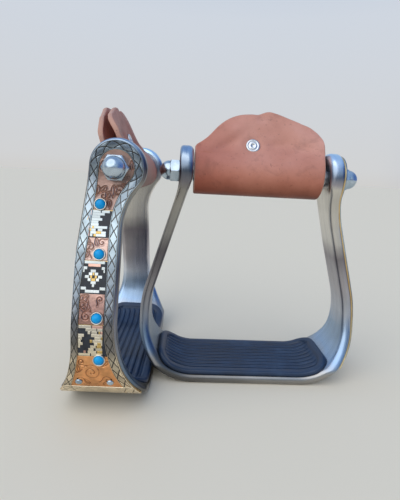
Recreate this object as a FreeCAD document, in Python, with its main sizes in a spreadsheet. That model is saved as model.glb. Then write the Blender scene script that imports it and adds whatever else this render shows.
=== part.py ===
import FreeCAD, Part
import math
import os
import re
import Sketcher

# A pair of cast aluminium western stirrups, standing on their soles as a mirrored pair.
# Each has a decorated outboard arm, a rubber tread pad and a leather cover on the top bar.
# The row frame is the right stirrup's own frame: the origin is the centre of its sole,
# X runs along the top bar, Y across the tread (minus Y is the front) and Z up.

SIZES = {
    # Cast band, seen from the front
    "bolt_height": 140.0,
    "half_width": 74.3,
    "corner_radius": 38.0,
    "shoulder_start": 43.0,
    "shoulder_radius": 70.0,
    "neck_radius": 45.0,
    "neck_half_width": 50.7,
    "neck_drop": 2.7,
    "band_thickness": 6.3,
    "eye_thickness": 8.5,
    "inner_neck_radius": 12.0,
    # Cast band, seen from the side
    "eye_radius": 15.8,
    "eye_offset": 9.2,
    "front_arm_edge": 12.9,
    "rear_arm_edge": 11.3,
    "rear_flare_radius": 60.0,
    "rear_flare_top": 47.0,
    "front_flare_radius": 82.0,
    "front_flare_top": 60.0,
    "front_tread_edge": 28.5,
    "rear_tread_edge": 21.2,
    "rear_eye_lean": 6.0,
    "front_eye_lean": 38.0,
    "front_eye_fillet": 36.0,
    "edge_round": 2.2,
    # Rubber pad and its screws
    "pad_thickness": 3.0,
    "pad_inset": 1.0,
    "pad_end_angle": 48.0,
    "pad_half_length": 60.2,
    "pad_corner_radius": 10.0,
    "pad_screw_spacing": 30.0,
    "pad_screw_radius": 2.0,
    "pad_screw_head_radius": 4.0,
    "pad_screw_head_height": 2.0,
    "pad_screw_sink": 0.6,
    "pad_screw_grip": 1.6,
    # Top bar
    "stud_radius": 4.0,
    "stud_thread_reach": 8.0,
    "fastener_clearance": 0.1,
    "running_clearance": 0.3,
    "nut_corner_radius": 7.5,
    "nut_turn": 30.0,
    "nut_hex_height": 6.0,
    "nut_height": 12.6,
    "nut_dome_radius": 6.25,
    "roller_radius": 7.8,
    "washer_radius": 6.0,
    "washer_thickness": 1.2,
    # Leather cover
    "leather_thickness": 3.0,
    "loop_drop": 3.2,
    "cover_end_gap": 0.5,
    "cover_taper": 3.0,
    "cover_taper_foot": 14.0,
    "cover_taper_top": 14.0,
    "cover_lean": 20.0,
    "cover_crest": 39.6,
    "crest_half_width": 9.0,
    "inboard_shoulder_height": 15.5,
    "inboard_slope_reach": 26.0,
    "inboard_slope_height": 30.0,
    "outboard_shoulder_height": 21.0,
    "outboard_slope_reach": 34.0,
    "outboard_slope_height": 30.5,
    "flap_gap": 0.6,
    "flap_splay": 0.8,
    "post_height": 17.7,
    "post_shift": 4.7,
    "post_radius": 2.5,
    "post_head_radius": 4.6,
    "post_head_height": 1.6,
    # Trim on the outboard arm
    "backplate_thickness": 0.8,
    "border_thickness": 0.8,
    "panel_thickness": 0.5,
    "trim_inset": 1.3,
    "trim_rear_inset": 0.6,
    "border_width": 4.9,
    "border_rear_width": 3.8,
    "panel_gap": 0.15,
    "trim_low_angle": 41.0,
    "border_foot": 19.4,
    "upper_pattern_top": 117.0,
    "upper_pattern_foot": 102.8,
    "centre_pattern_top": 90.5,
    "centre_pattern_foot": 73.8,
    "lower_pattern_top": 57.7,
    "lower_pattern_foot": 40.6,
    "bezel_radius": 3.4,
    "bezel_wall": 0.5,
    "bezel_floor": 0.4,
    "bezel_height": 1.3,
    "stone_height": 2.1,
    "stone_one_height": 119.8,
    "stone_one_side": -1.1,
    "stone_two_height": 93.9,
    "stone_two_side": -2.2,
    "stone_three_height": 61.3,
    "stone_three_side": -3.0,
    "stone_four_height": 38.7,
    "stone_four_side": -4.5,
    "trim_screw_height": 23.5,
    "rear_trim_screw_side": 7.8,
    "front_trim_screw_side": -9.6,
    "trim_screw_head_radius": 2.0,
    "trim_screw_head_height": 1.2,
    "trim_screw_radius": 1.0,
    "trim_screw_length": 5.0,
    # Largest share of the front neck's slope that its fillet may take up
    "slope_share": 0.95,
    # Where the left stirrup stands
    "left_shift_x": -91.8,
    "left_shift_y": 8.2,
    "left_turn": 88.6,
    # Spare length of every cutting shape
    "overrun": 5.0,
}

# Heights and tangent angles that several outlines share
DERIVED = {
    "neck_end": "bolt_height - neck_drop",
    "eye_half_gap": "neck_half_width - eye_thickness",
    "cover_half_width": "eye_half_gap - cover_end_gap",
    "arm_rise": "bolt_height - neck_drop - shoulder_start",
    "arm_run": "neck_half_width + neck_radius - half_width + shoulder_radius",
    "arm_lean": "atan2(arm_rise; arm_run)"
                " - acos((shoulder_radius + neck_radius) / sqrt(arm_rise ^ 2 + arm_run ^ 2))",
    "band_top": "bolt_height + eye_radius + overrun",
    "neck_slope": "(eye_offset + eye_radius * cos(front_eye_lean) - front_arm_edge) / sin(front_eye_lean)",
    "neck_fillet": "min(front_eye_fillet; neck_slope * slope_share / tan(front_eye_lean / 2))",
    "panel_face": "backplate_thickness + panel_thickness",
    "nut_seat": "neck_half_width + panel_face",
    "loop_radius": "roller_radius + running_clearance",
    "flap_base": "flap_gap / 2",
}

doc = FreeCAD.newDocument("stirrups")
sheet = doc.addObject("Spreadsheet::Sheet", "Sizes")
for row, (alias, size) in enumerate(SIZES.items(), start=1):
    sheet.set(f"A{row}", alias)
    sheet.set(f"B{row}", str(size))
    sheet.setAlias(f"B{row}", alias)
derived = doc.addObject("App::VarSet", "Derived")
doc.recompute()


def tie(text):
    """The expression text with every size name pointing at its cell or derived value."""
    def point(match):
        word = match.group(0)
        if word in SIZES:
            return "Sizes." + word
        return "Derived." + word if word in DERIVED else word
    return re.sub(r"[a-z_]+", point, text)


def value(text):
    """The number that an expression text gives now."""
    result = sheet.evalExpression(tie(text))
    return float(getattr(result, "Value", result))


for name, text in DERIVED.items():
    derived.addProperty("App::PropertyFloat", name, "Outline")
    derived.setExpression(name, tie(text))
    doc.recompute()


def plane_of(body, role):
    """One of a body's own origin planes."""
    return next(item for item in body.Origin.OriginFeatures if item.Role == role)


def arc_between(start, end, radius, side):
    """Circle arc from start to end with its centre to the left or right of the way."""
    middle = (start + end) * 0.5
    along = end - start
    left = FreeCAD.Vector(-along.y, along.x, 0).normalize()
    reach = math.sqrt(max(radius ** 2 - (along.Length / 2) ** 2, 0))
    centre = middle + left * (reach if side == "left" else -reach)
    first, last = (start, end) if side == "left" else (end, start)
    angles = [math.atan2(point.y - centre.y, point.x - centre.x) for point in (first, last)]
    circle = Part.Circle(centre, FreeCAD.Vector(0, 0, 1), radius)
    return Part.ArcOfCircle(circle, *angles)


def hold(sketch, kind, geometry, point, text):
    """Ties one coordinate of a sketch point to the sizes."""
    size = value(text)
    if abs(size) < 1e-9:
        axis = -2 if kind == "DistanceX" else -1
        sketch.addConstraint(Sketcher.Constraint("PointOnObject", geometry, point, axis))
        return
    index = sketch.addConstraint(Sketcher.Constraint(kind, -1, 1, geometry, point, size))
    sketch.setExpression(f"Constraints[{index}]", tie(text))


def draw_loop(sketch, corners):
    """Closed outline of lines and arcs, each corner (x, y, bend) held by expressions."""
    places = [FreeCAD.Vector(value(x), value(y), 0) for x, y, _ in corners]
    ends = []
    for number, (_, _, bend) in enumerate(corners):
        start, end = places[number], places[(number + 1) % len(places)]
        if bend is None:
            geometry = sketch.addGeometry(Part.LineSegment(start, end), False)
            ends.append((geometry, 1, 2))
            continue
        radius, side = bend
        geometry = sketch.addGeometry(arc_between(start, end, value(radius), side), False)
        index = sketch.addConstraint(Sketcher.Constraint("Radius", geometry, value(radius)))
        sketch.setExpression(f"Constraints[{index}]", tie(radius))
        ends.append((geometry, 1, 2) if side == "left" else (geometry, 2, 1))
    for number, (x, y, _) in enumerate(corners):
        geometry, first, _ = ends[number]
        before, _, last = ends[number - 1]
        sketch.addConstraint(Sketcher.Constraint("Coincident", before, last, geometry, first))
        hold(sketch, "DistanceX", geometry, first, x)
        hold(sketch, "DistanceY", geometry, first, y)


def new_sketch(body, name, role):
    """Sketch on one of the body's origin planes."""
    sketch = body.newObject("Sketcher::SketchObject", name)
    sketch.AttachmentSupport = (plane_of(body, role), [""])
    sketch.MapMode = "FlatFace"
    return sketch


def pad(body, name, sketch, length):
    """Symmetric pad of a sketch."""
    feature = body.newObject("PartDesign::Pad", name)
    feature.Profile = sketch
    feature.SideType = "Symmetric"
    feature.setExpression("Length", tie(length))
    doc.recompute()
    return feature


def pocket_through(body, name, sketch):
    """Pocket through the whole body, both ways; it has to take material away."""
    before = body.Shape.Volume
    feature = body.newObject("PartDesign::Pocket", name)
    feature.Profile = sketch
    feature.Type = "ThroughAll"
    feature.SideType = "Symmetric"
    doc.recompute()
    if body.Shape.Volume >= before:
        raise RuntimeError(f"{name} cuts nothing")
    return feature


def frame_around(sketch, reach, low, high):
    """Rectangle round an outline, so that a pocket takes all that lies outside it."""
    corners = [(f"0 - ({reach})", low), (reach, low), (reach, high), (f"0 - ({reach})", high)]
    draw_loop(sketch, [(x, y, None) for x, y in corners])


# Outline of the band, seen from the front: each function gives corners (x, height, bend)

def outer_face(offset, top):
    """Outer side of the right arm at a depth of offset, from the sole's end to the top."""
    corner = f"corner_radius - ({offset})"
    shoulder = f"shoulder_radius - ({offset})"
    neck = f"neck_radius + ({offset})"
    wide = f"half_width - ({offset})"
    return [
        ("half_width - corner_radius", offset, (corner, "left")),
        (wide, "corner_radius", None),
        (wide, "shoulder_start", (shoulder, "left")),
        (f"half_width - shoulder_radius + ({shoulder}) * cos(arm_lean)",
         f"shoulder_start + ({shoulder}) * sin(arm_lean)", None),
        (f"neck_half_width + neck_radius - ({neck}) * cos(arm_lean)",
         f"neck_end - ({neck}) * sin(arm_lean)", (neck, "right")),
        (f"neck_half_width - ({offset})", "neck_end", None),
        (f"neck_half_width - ({offset})", top, None),
    ]


def inner_face(top):
    """Inner side of the right arm, from the top down to the tread."""
    corner = "corner_radius - band_thickness"
    shoulder = "(shoulder_radius - band_thickness)"
    wide = "half_width - band_thickness"
    low_x = f"(half_width - shoulder_radius + {shoulder} * cos(arm_lean))"
    high_x = "(eye_half_gap + inner_neck_radius * (1 - cos(arm_lean)))"
    high_z = f"shoulder_start + {shoulder} * sin(arm_lean) + ({low_x} - {high_x}) / tan(arm_lean)"
    return [
        ("eye_half_gap", top, None),
        ("eye_half_gap", f"{high_z} + inner_neck_radius * sin(arm_lean)", ("inner_neck_radius", "left")),
        (high_x, high_z, None),
        (low_x, f"shoulder_start + {shoulder} * sin(arm_lean)", (shoulder, "right")),
        (wide, "shoulder_start", None),
        (wide, "corner_radius", (corner, "right")),
        ("half_width - corner_radius", "band_thickness", None),
    ]


def both_arms(half):
    """A right-hand half outline closed by its mirror image."""
    mirrored = []
    for number in range(len(half) - 1, -1, -1):
        x, z, _ = half[number]
        bend = half[number - 1][2] if number else None
        mirrored.append((f"0 - ({x})", z, bend))
    return half + mirrored


def turned_back(corners):
    """The same outline run the other way."""
    swap = {"left": "right", "right": "left"}
    back = []
    for number in range(len(corners) - 1, -1, -1):
        x, z, _ = corners[number]
        bend = corners[number - 1][2] if number else None
        back.append((x, z, (bend[0], swap[bend[1]]) if bend else None))
    return back


def trim_layer(inner, outer):
    """Thin layer on the outer side of the right arm, from its low end up past the eye."""
    faces = []
    for depth in (inner, outer):
        offset = f"0 - ({depth})"
        face = outer_face(offset, "band_top")
        corner = f"(corner_radius + {depth})"
        low = (f"half_width - corner_radius + {corner} * cos(trim_low_angle)",
               f"corner_radius - {corner} * sin(trim_low_angle)", (corner, "left"))
        faces.append([low] + face[1:])
    return faces[1] + turned_back(faces[0])


# Outline of the band, seen from the side: corners (depth, height, bend)

def flare_depth(side, inset, height):
    """How far the front or rear flare stands out from the arm's middle at a height."""
    return (f"{side}_arm_edge + {side}_flare_radius - sqrt(({side}_flare_radius + {inset}) ^ 2"
            f" - ({side}_flare_top - ({height})) ^ 2)")


def side_outline(inset, rear_inset, low):
    """Arm and eye outline from a low height up; the arm's rear side has an inset of its own."""
    eye = f"(eye_radius - {inset})"
    rear = f"(rear_arm_edge - {rear_inset})"
    front = f"(front_arm_edge - {inset})"
    rear_touch = f"({eye} * cos(rear_eye_lean) - eye_offset)"
    rear_touch_height = f"(bolt_height + {eye} * sin(rear_eye_lean))"
    front_touch = f"(0 - eye_offset - {eye} * cos(front_eye_lean))"
    front_touch_height = f"(bolt_height - {eye} * sin(front_eye_lean))"
    front_meet = f"({front_touch_height} + ({front_touch} + {front}) / tan(front_eye_lean))"
    ease = f"((neck_fillet + {inset}) * tan(front_eye_lean / 2))"
    return [
        (flare_depth("rear", rear_inset, low), low, (f"rear_flare_radius + {rear_inset}", "right")),
        (rear, "rear_flare_top", None),
        (rear, f"{rear_touch_height} - ({rear} - {rear_touch}) / tan(rear_eye_lean)", None),
        (rear_touch, rear_touch_height, (eye, "left")),
        ("0 - eye_offset", f"bolt_height + {eye}", (eye, "left")),
        (front_touch, front_touch_height, None),
        (f"0 - {front} - {ease} * sin(front_eye_lean)",
         f"{front_meet} + {ease} * cos(front_eye_lean)", (f"neck_fillet + {inset}", "right")),
        (f"0 - {front}", f"{front_meet} - {ease}", None),
        (f"0 - {front}", "front_flare_top", (f"front_flare_radius + {inset}", "right")),
        (f"0 - ({flare_depth('front', inset, low)})", low, None),
    ]


def tread_outline():
    """The side outline with the tread's full depth at its foot."""
    corners = side_outline("0", "0", "0")
    feet = []
    for side, sign in (("rear", ""), ("front", "0 - ")):
        depth = f"{side}_tread_edge"
        height = (f"{side}_flare_top - sqrt({side}_flare_radius ^ 2"
                  f" - ({side}_arm_edge + {side}_flare_radius - {depth}) ^ 2)")
        feet.append([(f"{sign}{depth}", "0 - overrun"), (f"{sign}{depth}", height)])
    rear, front = feet
    return ([(*rear[0], None), (*rear[1], corners[0][2])] + corners[1:-1]
            + [(*front[1], None), (*front[0], None)])


def trimmed_body(name, corners, side_corners, hole_corners=None):
    """A band cut to its side outline, with an optional window through it."""
    body = doc.addObject("PartDesign::Body", name)
    band = new_sketch(body, f"{name}_band_sketch", "XZ_Plane")
    draw_loop(band, corners)
    pad(body, f"{name}_band", band, "2 * (front_tread_edge + overrun)")
    side = new_sketch(body, f"{name}_side_sketch", "YZ_Plane")
    frame_around(side, "front_tread_edge + 2 * overrun", "0 - 2 * overrun", "band_top + overrun")
    draw_loop(side, side_corners)
    pocket_through(body, f"{name}_side_cut", side)
    if hole_corners:
        window = new_sketch(body, f"{name}_window_sketch", "YZ_Plane")
        draw_loop(window, hole_corners)
        pocket_through(body, f"{name}_window", window)
    return body


# Helpers for turned pieces and groups

def along_bar(place, sizes, kind="Part::Cylinder", name="turned", turn=90):
    """A turned primitive whose axis is the top bar, starting at a distance from the middle."""
    piece = doc.addObject(kind, name)
    for prop, text in sizes.items():
        piece.setExpression(prop, tie(text))
    rotation = FreeCAD.Rotation(FreeCAD.Vector(0, 1, 0), turn)
    piece.Placement = FreeCAD.Placement(FreeCAD.Vector(), rotation)
    piece.setExpression("Placement.Base.x", tie(place))
    piece.setExpression("Placement.Base.y", tie("0 - eye_offset"))
    piece.setExpression("Placement.Base.z", tie("bolt_height"))
    return piece


def join(kind, name, **links):
    """A boolean or compound of other pieces."""
    piece = doc.addObject(kind, name)
    for prop, target in links.items():
        setattr(piece, prop, target)
    doc.recompute()
    return piece


def bar_tube(name, start, length, radius, bore):
    """A tube or washer on the top bar."""
    body = along_bar(start, {"Radius": radius, "Height": length}, name=f"{name}_blank")
    hole = along_bar(f"{start} - overrun", {"Radius": bore, "Height": f"{length} + 2 * overrun"},
                     name=f"{name}_bore")
    return join("Part::Cut", name, Base=body, Tool=hole)


def cap_nut(name, seat, sign):
    """Hexagon cap nut with a low dome and a blind bore for the stud's end."""
    turn = 90 * sign
    hexagon = along_bar(seat, {"Circumradius": "nut_corner_radius", "Height": "nut_hex_height"},
                        "Part::Prism", f"{name}_hexagon", turn)
    hexagon.Polygon = 6
    own_turn = FreeCAD.Rotation(FreeCAD.Vector(0, 0, 1), value("nut_turn"))
    hexagon.Placement = hexagon.Placement * FreeCAD.Placement(FreeCAD.Vector(), own_turn)
    neck = along_bar(seat, {"Radius": "nut_dome_radius", "Height": "nut_height - nut_dome_radius"},
                     name=f"{name}_neck", turn=turn)
    dome = along_bar(f"{seat} + {sign} * (nut_height - nut_dome_radius)",
                     {"Radius": "nut_dome_radius"}, "Part::Sphere", f"{name}_dome", turn)
    bore = along_bar(f"{seat} - {sign} * overrun",
                     {"Radius": "stud_radius + fastener_clearance",
                      "Height": "stud_thread_reach + running_clearance + overrun"},
                     name=f"{name}_bore", turn=turn)
    blank = join("Part::MultiFuse", f"{name}_blank", Shapes=[hexagon, neck, dome])
    return join("Part::Cut", name, Base=blank, Tool=bore)


def face_spot(height_name, side, depth):
    """Place on the outboard face at a height, its own Z axis pointing straight out."""
    height = value(height_name)
    lean = math.radians(value("arm_lean"))
    corner, shoulder = value("corner_radius"), value("shoulder_radius")
    start, wide = value("shoulder_start"), value("half_width")
    neck, narrow, neck_end = value("neck_radius"), value("neck_half_width"), value("neck_end")
    if height < corner:
        tilt = math.asin((height - corner) / corner)
        foot = FreeCAD.Vector(wide - corner + corner * math.cos(tilt), 0, height)
    elif height < start:
        tilt = 0.0
        foot = FreeCAD.Vector(wide, 0, height)
    elif height < start + shoulder * math.sin(lean):
        tilt = math.asin((height - start) / shoulder)
        foot = FreeCAD.Vector(wide - shoulder + shoulder * math.cos(tilt), 0, height)
    elif height < neck_end - neck * math.sin(lean):
        tilt = lean
        above = height - start - shoulder * math.sin(lean)
        run_start = wide - shoulder + shoulder * math.cos(lean)
        foot = FreeCAD.Vector(run_start - above * math.tan(lean), 0, height)
    else:
        tilt = math.asin(max(neck_end - height, 0) / neck)
        foot = FreeCAD.Vector(narrow + neck - neck * math.cos(tilt), 0, height)
    out = FreeCAD.Vector(math.cos(tilt), 0, math.sin(tilt))
    place = foot + out * value(depth) + FreeCAD.Vector(0, value(side), 0)
    return FreeCAD.Placement(place, FreeCAD.Rotation(FreeCAD.Vector(0, 0, 1), out))


def at_spot(kind, name, place, sizes):
    """A primitive standing on a spot of the outboard face."""
    piece = doc.addObject(kind, name)
    for prop, text in sizes.items():
        piece.setExpression(prop, tie(text))
    piece.Placement = place
    return piece


# Pieces of one stirrup, each in its own function

def make_drills():
    """Holes of the top stud with its nut seats, of the pad screws and of the trim screws."""
    hole = along_bar("0 - half_width - overrun",
                     {"Radius": "stud_radius + fastener_clearance",
                      "Height": "2 * (half_width + overrun)"}, name="stud_hole")
    seat = {"Radius": "nut_corner_radius + running_clearance", "Height": "half_width - neck_half_width"}
    stud = join("Part::Compound", "stud_drill", Links=[
        hole,
        along_bar("0 - neck_half_width", seat, name="inboard_nut_seat", turn=-90),
        along_bar("nut_seat", seat, name="outboard_nut_seat"),
    ])
    trim = []
    for side in ("rear_trim_screw_side", "front_trim_screw_side"):
        place = face_spot("trim_screw_height", side, "panel_face - fastener_clearance - trim_screw_length")
        trim.append(at_spot("Part::Cylinder", f"{side}_drill", place,
                            {"Radius": "trim_screw_radius + fastener_clearance",
                             "Height": "trim_screw_length + overrun"}))
    sole = [pad_screw_drill(sign) for sign in (-1, 1)]
    return stud, join("Part::Compound", "trim_drills", Links=trim), \
        join("Part::Compound", "sole_drills", Links=sole)


def pad_screw_shape(name, sign, spare):
    """Countersunk screw from below, or the hole for it with some spare all round."""
    head = doc.addObject("Part::Cone", f"{name}_head")
    head.setExpression("Radius1", tie(f"pad_screw_head_radius + {spare}"))
    head.setExpression("Radius2", tie(f"pad_screw_radius + {spare}"))
    head.setExpression("Height", tie("pad_screw_head_height"))
    shank = doc.addObject("Part::Cylinder", f"{name}_shank")
    shank.setExpression("Radius", tie(f"pad_screw_radius + {spare}"))
    shank.setExpression("Height", tie(f"band_thickness - pad_screw_sink + pad_screw_grip + {spare}"))
    for piece in (head, shank):
        piece.setExpression("Placement.Base.x", tie(f"{sign} * pad_screw_spacing"))
        piece.setExpression("Placement.Base.z", tie("pad_screw_sink"))
    return join("Part::MultiFuse", name, Shapes=[head, shank])


def pad_screw_drill(sign):
    """Hole of one pad screw, with its sunk entry from below."""
    hole = pad_screw_shape(f"pad_screw_drill_{sign + 1}", sign, "fastener_clearance")
    entry = doc.addObject("Part::Cylinder", f"pad_screw_entry_{sign + 1}")
    entry.setExpression("Radius", tie("pad_screw_head_radius + fastener_clearance"))
    entry.setExpression("Height", tie("pad_screw_sink"))
    entry.setExpression("Placement.Base.x", tie(f"{sign} * pad_screw_spacing"))
    return join("Part::MultiFuse", f"pad_screw_hole_{sign + 1}", Shapes=[hole, entry])


SHARP_ANGLE = 30


def sharp_edges(shape):
    """Names of a shape's edges at which two faces meet at a clear angle."""
    limit = math.cos(math.radians(SHARP_ANGLE))
    names = []
    for number, edge in enumerate(shape.Edges, start=1):
        faces = shape.ancestorsOfType(edge, Part.Face)
        middle = edge.valueAt((edge.FirstParameter + edge.LastParameter) / 2)
        normals = [face.normalAt(*face.Surface.parameter(middle)) for face in faces]
        if len(normals) == 2 and abs(normals[0].dot(normals[1])) < limit:
            names.append(f"Edge{number}")
    return names


def make_frame(drills):
    """Cast band with its two eyes and the flared tread, drilled for all its fasteners."""
    half = outer_face("0", "band_top") + inner_face("band_top")
    casting = trimmed_body("frame_casting", both_arms(half), tread_outline())
    cut_band = casting.Tip
    rounding = casting.newObject("PartDesign::Fillet", "frame_edge_rounding")
    rounding.Base = (cut_band, sharp_edges(cut_band.Shape))
    rounding.setExpression("Radius", tie("edge_round"))
    doc.recompute()
    tools = join("Part::Compound", "frame_drills", Links=drills)
    return join("Part::Cut", "right_frame", Base=casting, Tool=tools)


def pad_plan():
    """Outline of the pad seen from above: a long rectangle with round corners."""
    radius = "pad_corner_radius"
    end, straight = "pad_half_length", f"(pad_half_length - {radius})"
    rear, front = "(rear_tread_edge - pad_inset)", "(front_tread_edge - pad_inset)"
    return [
        (end, f"{radius} - {front}", None),
        (end, f"{rear} - {radius}", (radius, "left")),
        (straight, rear, None),
        (f"0 - {straight}", rear, (radius, "left")),
        (f"0 - {end}", f"{rear} - {radius}", None),
        (f"0 - {end}", f"{radius} - {front}", (radius, "left")),
        (f"0 - {straight}", f"0 - {front}", None),
        (straight, f"0 - {front}", (radius, "left")),
    ]


def make_pad(sole_drills):
    """Rubber pad that lies on the tread, climbs both corners and has round ends."""
    under, over = "band_thickness", "(band_thickness + pad_thickness)"
    half = []
    for depth, side in ((under, "left"), (over, "right")):
        radius = f"(corner_radius - {depth})"
        flat = ("half_width - corner_radius", depth, (radius, "left") if side == "left" else None)
        end = (f"half_width - corner_radius + {radius} * sin(pad_end_angle)",
               f"corner_radius - {radius} * cos(pad_end_angle)",
               None if side == "left" else (radius, "right"))
        half += [flat, end] if side == "left" else [end, flat]
    body = doc.addObject("PartDesign::Body", "pad_blank")
    band = new_sketch(body, "pad_band_sketch", "XZ_Plane")
    draw_loop(band, both_arms(half))
    pad(body, "pad_band", band, "2 * (front_tread_edge + overrun)")
    plan = new_sketch(body, "pad_plan_sketch", "XY_Plane")
    frame_around(plan, "half_width + overrun", "0 - half_width", "half_width")
    draw_loop(plan, pad_plan())
    pocket_through(body, "pad_plan_cut", plan)
    return join("Part::Cut", "right_tread_pad", Base=body, Tool=sole_drills)


def make_pad_screws():
    """Two countersunk screws that hold the pad from below."""
    screws = [pad_screw_shape(f"pad_screw_{sign + 1}", sign, "0") for sign in (-1, 1)]
    return join("Part::Compound", "right_pad_screws", Links=screws)


def make_top_bar():
    """Stud, two cap nuts, roller tube and its two washers."""
    inboard, outboard = "0 - neck_half_width", "nut_seat"
    stud = along_bar("0 - neck_half_width - stud_thread_reach",
                     {"Radius": "stud_radius",
                      "Height": "neck_half_width + nut_seat + 2 * stud_thread_reach"},
                     name="right_top_stud")
    nuts = [cap_nut("right_inboard_cap_nut", inboard, -1),
            cap_nut("right_outboard_cap_nut", outboard, 1)]
    half = "(eye_half_gap - washer_thickness - running_clearance)"
    tube = bar_tube("right_roller_tube", f"0 - {half}", f"2 * {half}", "roller_radius",
                    "stud_radius + running_clearance")
    bore = "stud_radius + fastener_clearance"
    washers = [bar_tube("inboard_washer", "0 - eye_half_gap", "washer_thickness", "washer_radius", bore),
               bar_tube("outboard_washer", "eye_half_gap - washer_thickness", "washer_thickness",
                        "washer_radius", bore)]
    return [stud, *nuts, tube, join("Part::Compound", "right_roller_washers", Links=washers)]


def cover_section():
    """Section of the folded leather across the bar: a loop below, two flaps above."""
    loop = "loop_radius"
    outer = "(loop_radius + leather_thickness)"
    pinch = "(flap_base + leather_thickness)"
    held = "(post_height + post_head_radius)"
    neck = "(post_height - post_head_radius)"
    touch = f"(atan2({neck}; {pinch}) - acos({outer} / sqrt({pinch} ^ 2 + {neck} ^ 2)))"
    touch_side, touch_height = f"{outer} * cos({touch})", f"{outer} * sin({touch})"
    slit_end = f"sqrt({loop} ^ 2 - flap_base ^ 2)"
    rear = [
        (f"{pinch} + flap_splay", "cover_crest", None),
        ("flap_base + flap_splay", "cover_crest", None),
        ("flap_base", held, None),
        ("flap_base", slit_end, (loop, "right")),
        (loop, "0", None),
        (loop, "0 - loop_drop", (loop, "right")),
        ("0", f"0 - loop_drop - {loop}", (loop, "right")),
    ]
    front = [
        (f"0 - {loop}", "0 - loop_drop", None),
        (f"0 - {loop}", "0", (loop, "right")),
        ("0 - flap_base", slit_end, None),
        ("0 - flap_base", held, None),
        ("0 - flap_base - flap_splay", "cover_crest", None),
        (f"0 - {pinch} - flap_splay", "cover_crest", None),
        (f"0 - {pinch}", held, None),
        (f"0 - {pinch}", neck, None),
        (f"0 - {touch_side}", touch_height, (outer, "left")),
        (f"0 - {outer}", "0", None),
        (f"0 - {outer}", "0 - loop_drop", (outer, "left")),
        ("0", f"0 - loop_drop - {outer}", (outer, "left")),
    ]
    return rear + front + [
        (outer, "0 - loop_drop", None),
        (outer, "0", (outer, "left")),
        (touch_side, touch_height, None),
        (pinch, neck, None),
        (pinch, held, None),
    ]


def lean_cover(piece):
    """Puts a piece made upright round the bar into the cover's leaning rest place."""
    piece.Placement = FreeCAD.Placement(FreeCAD.Vector(), FreeCAD.Rotation(FreeCAD.Vector(1, 0, 0), 1))
    piece.setExpression("Placement.Base.y", tie("0 - eye_offset"))
    piece.setExpression("Placement.Base.z", tie("bolt_height"))
    piece.setExpression("Placement.Rotation.Angle", tie("0 - cover_lean"))
    doc.recompute()
    return piece


def across_cover(name, start, sizes, turn):
    """A cylinder through the flaps at the post, from a depth, turned to the rear or the front."""
    piece = doc.addObject("Part::Cylinder", name)
    for prop, text in sizes.items():
        piece.setExpression(prop, tie(text))
    rotation = FreeCAD.Rotation(FreeCAD.Vector(1, 0, 0), turn)
    piece.Placement = FreeCAD.Placement(FreeCAD.Vector(), rotation)
    piece.setExpression("Placement.Base.x", tie("0 - post_shift"))
    piece.setExpression("Placement.Base.y", tie(start))
    piece.setExpression("Placement.Base.z", tie("post_height"))
    return piece


def make_cover():
    """Leather cover folded round the roller, its post and its screw."""
    body = doc.addObject("PartDesign::Body", "cover_blank")
    section = new_sketch(body, "cover_section_sketch", "YZ_Plane")
    draw_loop(section, cover_section())
    pad(body, "cover_fold", section, "2 * half_width")
    outline = new_sketch(body, "cover_outline_sketch", "XZ_Plane")
    frame_around(outline, "half_width + overrun", "0 - bolt_height - overrun", "bolt_height")
    low = "0 - bolt_height"
    draw_loop(outline, [
        ("0 - cover_half_width", low, None),
        ("cover_half_width - cover_taper", low, None),
        ("cover_half_width - cover_taper", "0 - cover_taper_foot", None),
        ("cover_half_width", "cover_taper_top", None),
        ("cover_half_width", "outboard_shoulder_height", None),
        ("outboard_slope_reach", "outboard_slope_height", None),
        ("crest_half_width", "cover_crest", None),
        ("0 - crest_half_width", "cover_crest", None),
        ("0 - inboard_slope_reach", "inboard_slope_height", None),
        ("0 - cover_half_width", "inboard_shoulder_height", None),
    ])
    pocket_through(body, "cover_outline", outline)
    to_rear, to_front = -90, 90
    flap = "(flap_base + leather_thickness)"
    drill = across_cover("post_drill", f"0 - {flap} - overrun",
                         {"Radius": "post_radius + fastener_clearance",
                          "Height": f"2 * ({flap} + overrun)"}, to_rear)
    cover = join("Part::Cut", "right_leather_cover", Base=body, Tool=drill)
    barrel = across_cover("post_barrel", f"0 - {flap}",
                          {"Radius": "post_radius", "Height": f"2 * {flap}"}, to_rear)
    head = across_cover("post_head", flap,
                        {"Radius": "post_head_radius", "Height": "post_head_height"}, to_rear)
    thread = across_cover("post_thread", f"0 - {flap} - overrun",
                          {"Radius": "post_radius / 2 + fastener_clearance",
                           "Height": f"2 * {flap} + overrun"}, to_rear)
    blank = join("Part::MultiFuse", "post_blank", Shapes=[barrel, head])
    post = join("Part::Cut", "right_cover_post", Base=blank, Tool=thread)
    cap = across_cover("screw_head", f"0 - {flap}",
                       {"Radius": "post_head_radius", "Height": "post_head_height"}, to_front)
    shank = across_cover("screw_shank", f"0 - {flap}",
                         {"Radius": "post_radius / 2", "Height": f"1.5 * {flap}"}, to_rear)
    screw = join("Part::MultiFuse", "right_cover_screw", Shapes=[cap, shank])
    return [lean_cover(piece) for piece in (cover, post, screw)]


PANELS = [
    ("copper_top", "upper_pattern_top + panel_gap", "band_top"),
    ("pattern_upper", "upper_pattern_foot", "upper_pattern_top"),
    ("copper_upper", "centre_pattern_top + panel_gap", "upper_pattern_foot - panel_gap"),
    ("pattern_centre", "centre_pattern_foot", "centre_pattern_top"),
    ("copper_lower", "lower_pattern_top + panel_gap", "centre_pattern_foot - panel_gap"),
    ("pattern_lower", "lower_pattern_foot", "lower_pattern_top"),
    ("copper_bottom", "0", "lower_pattern_foot - panel_gap"),
]


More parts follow.
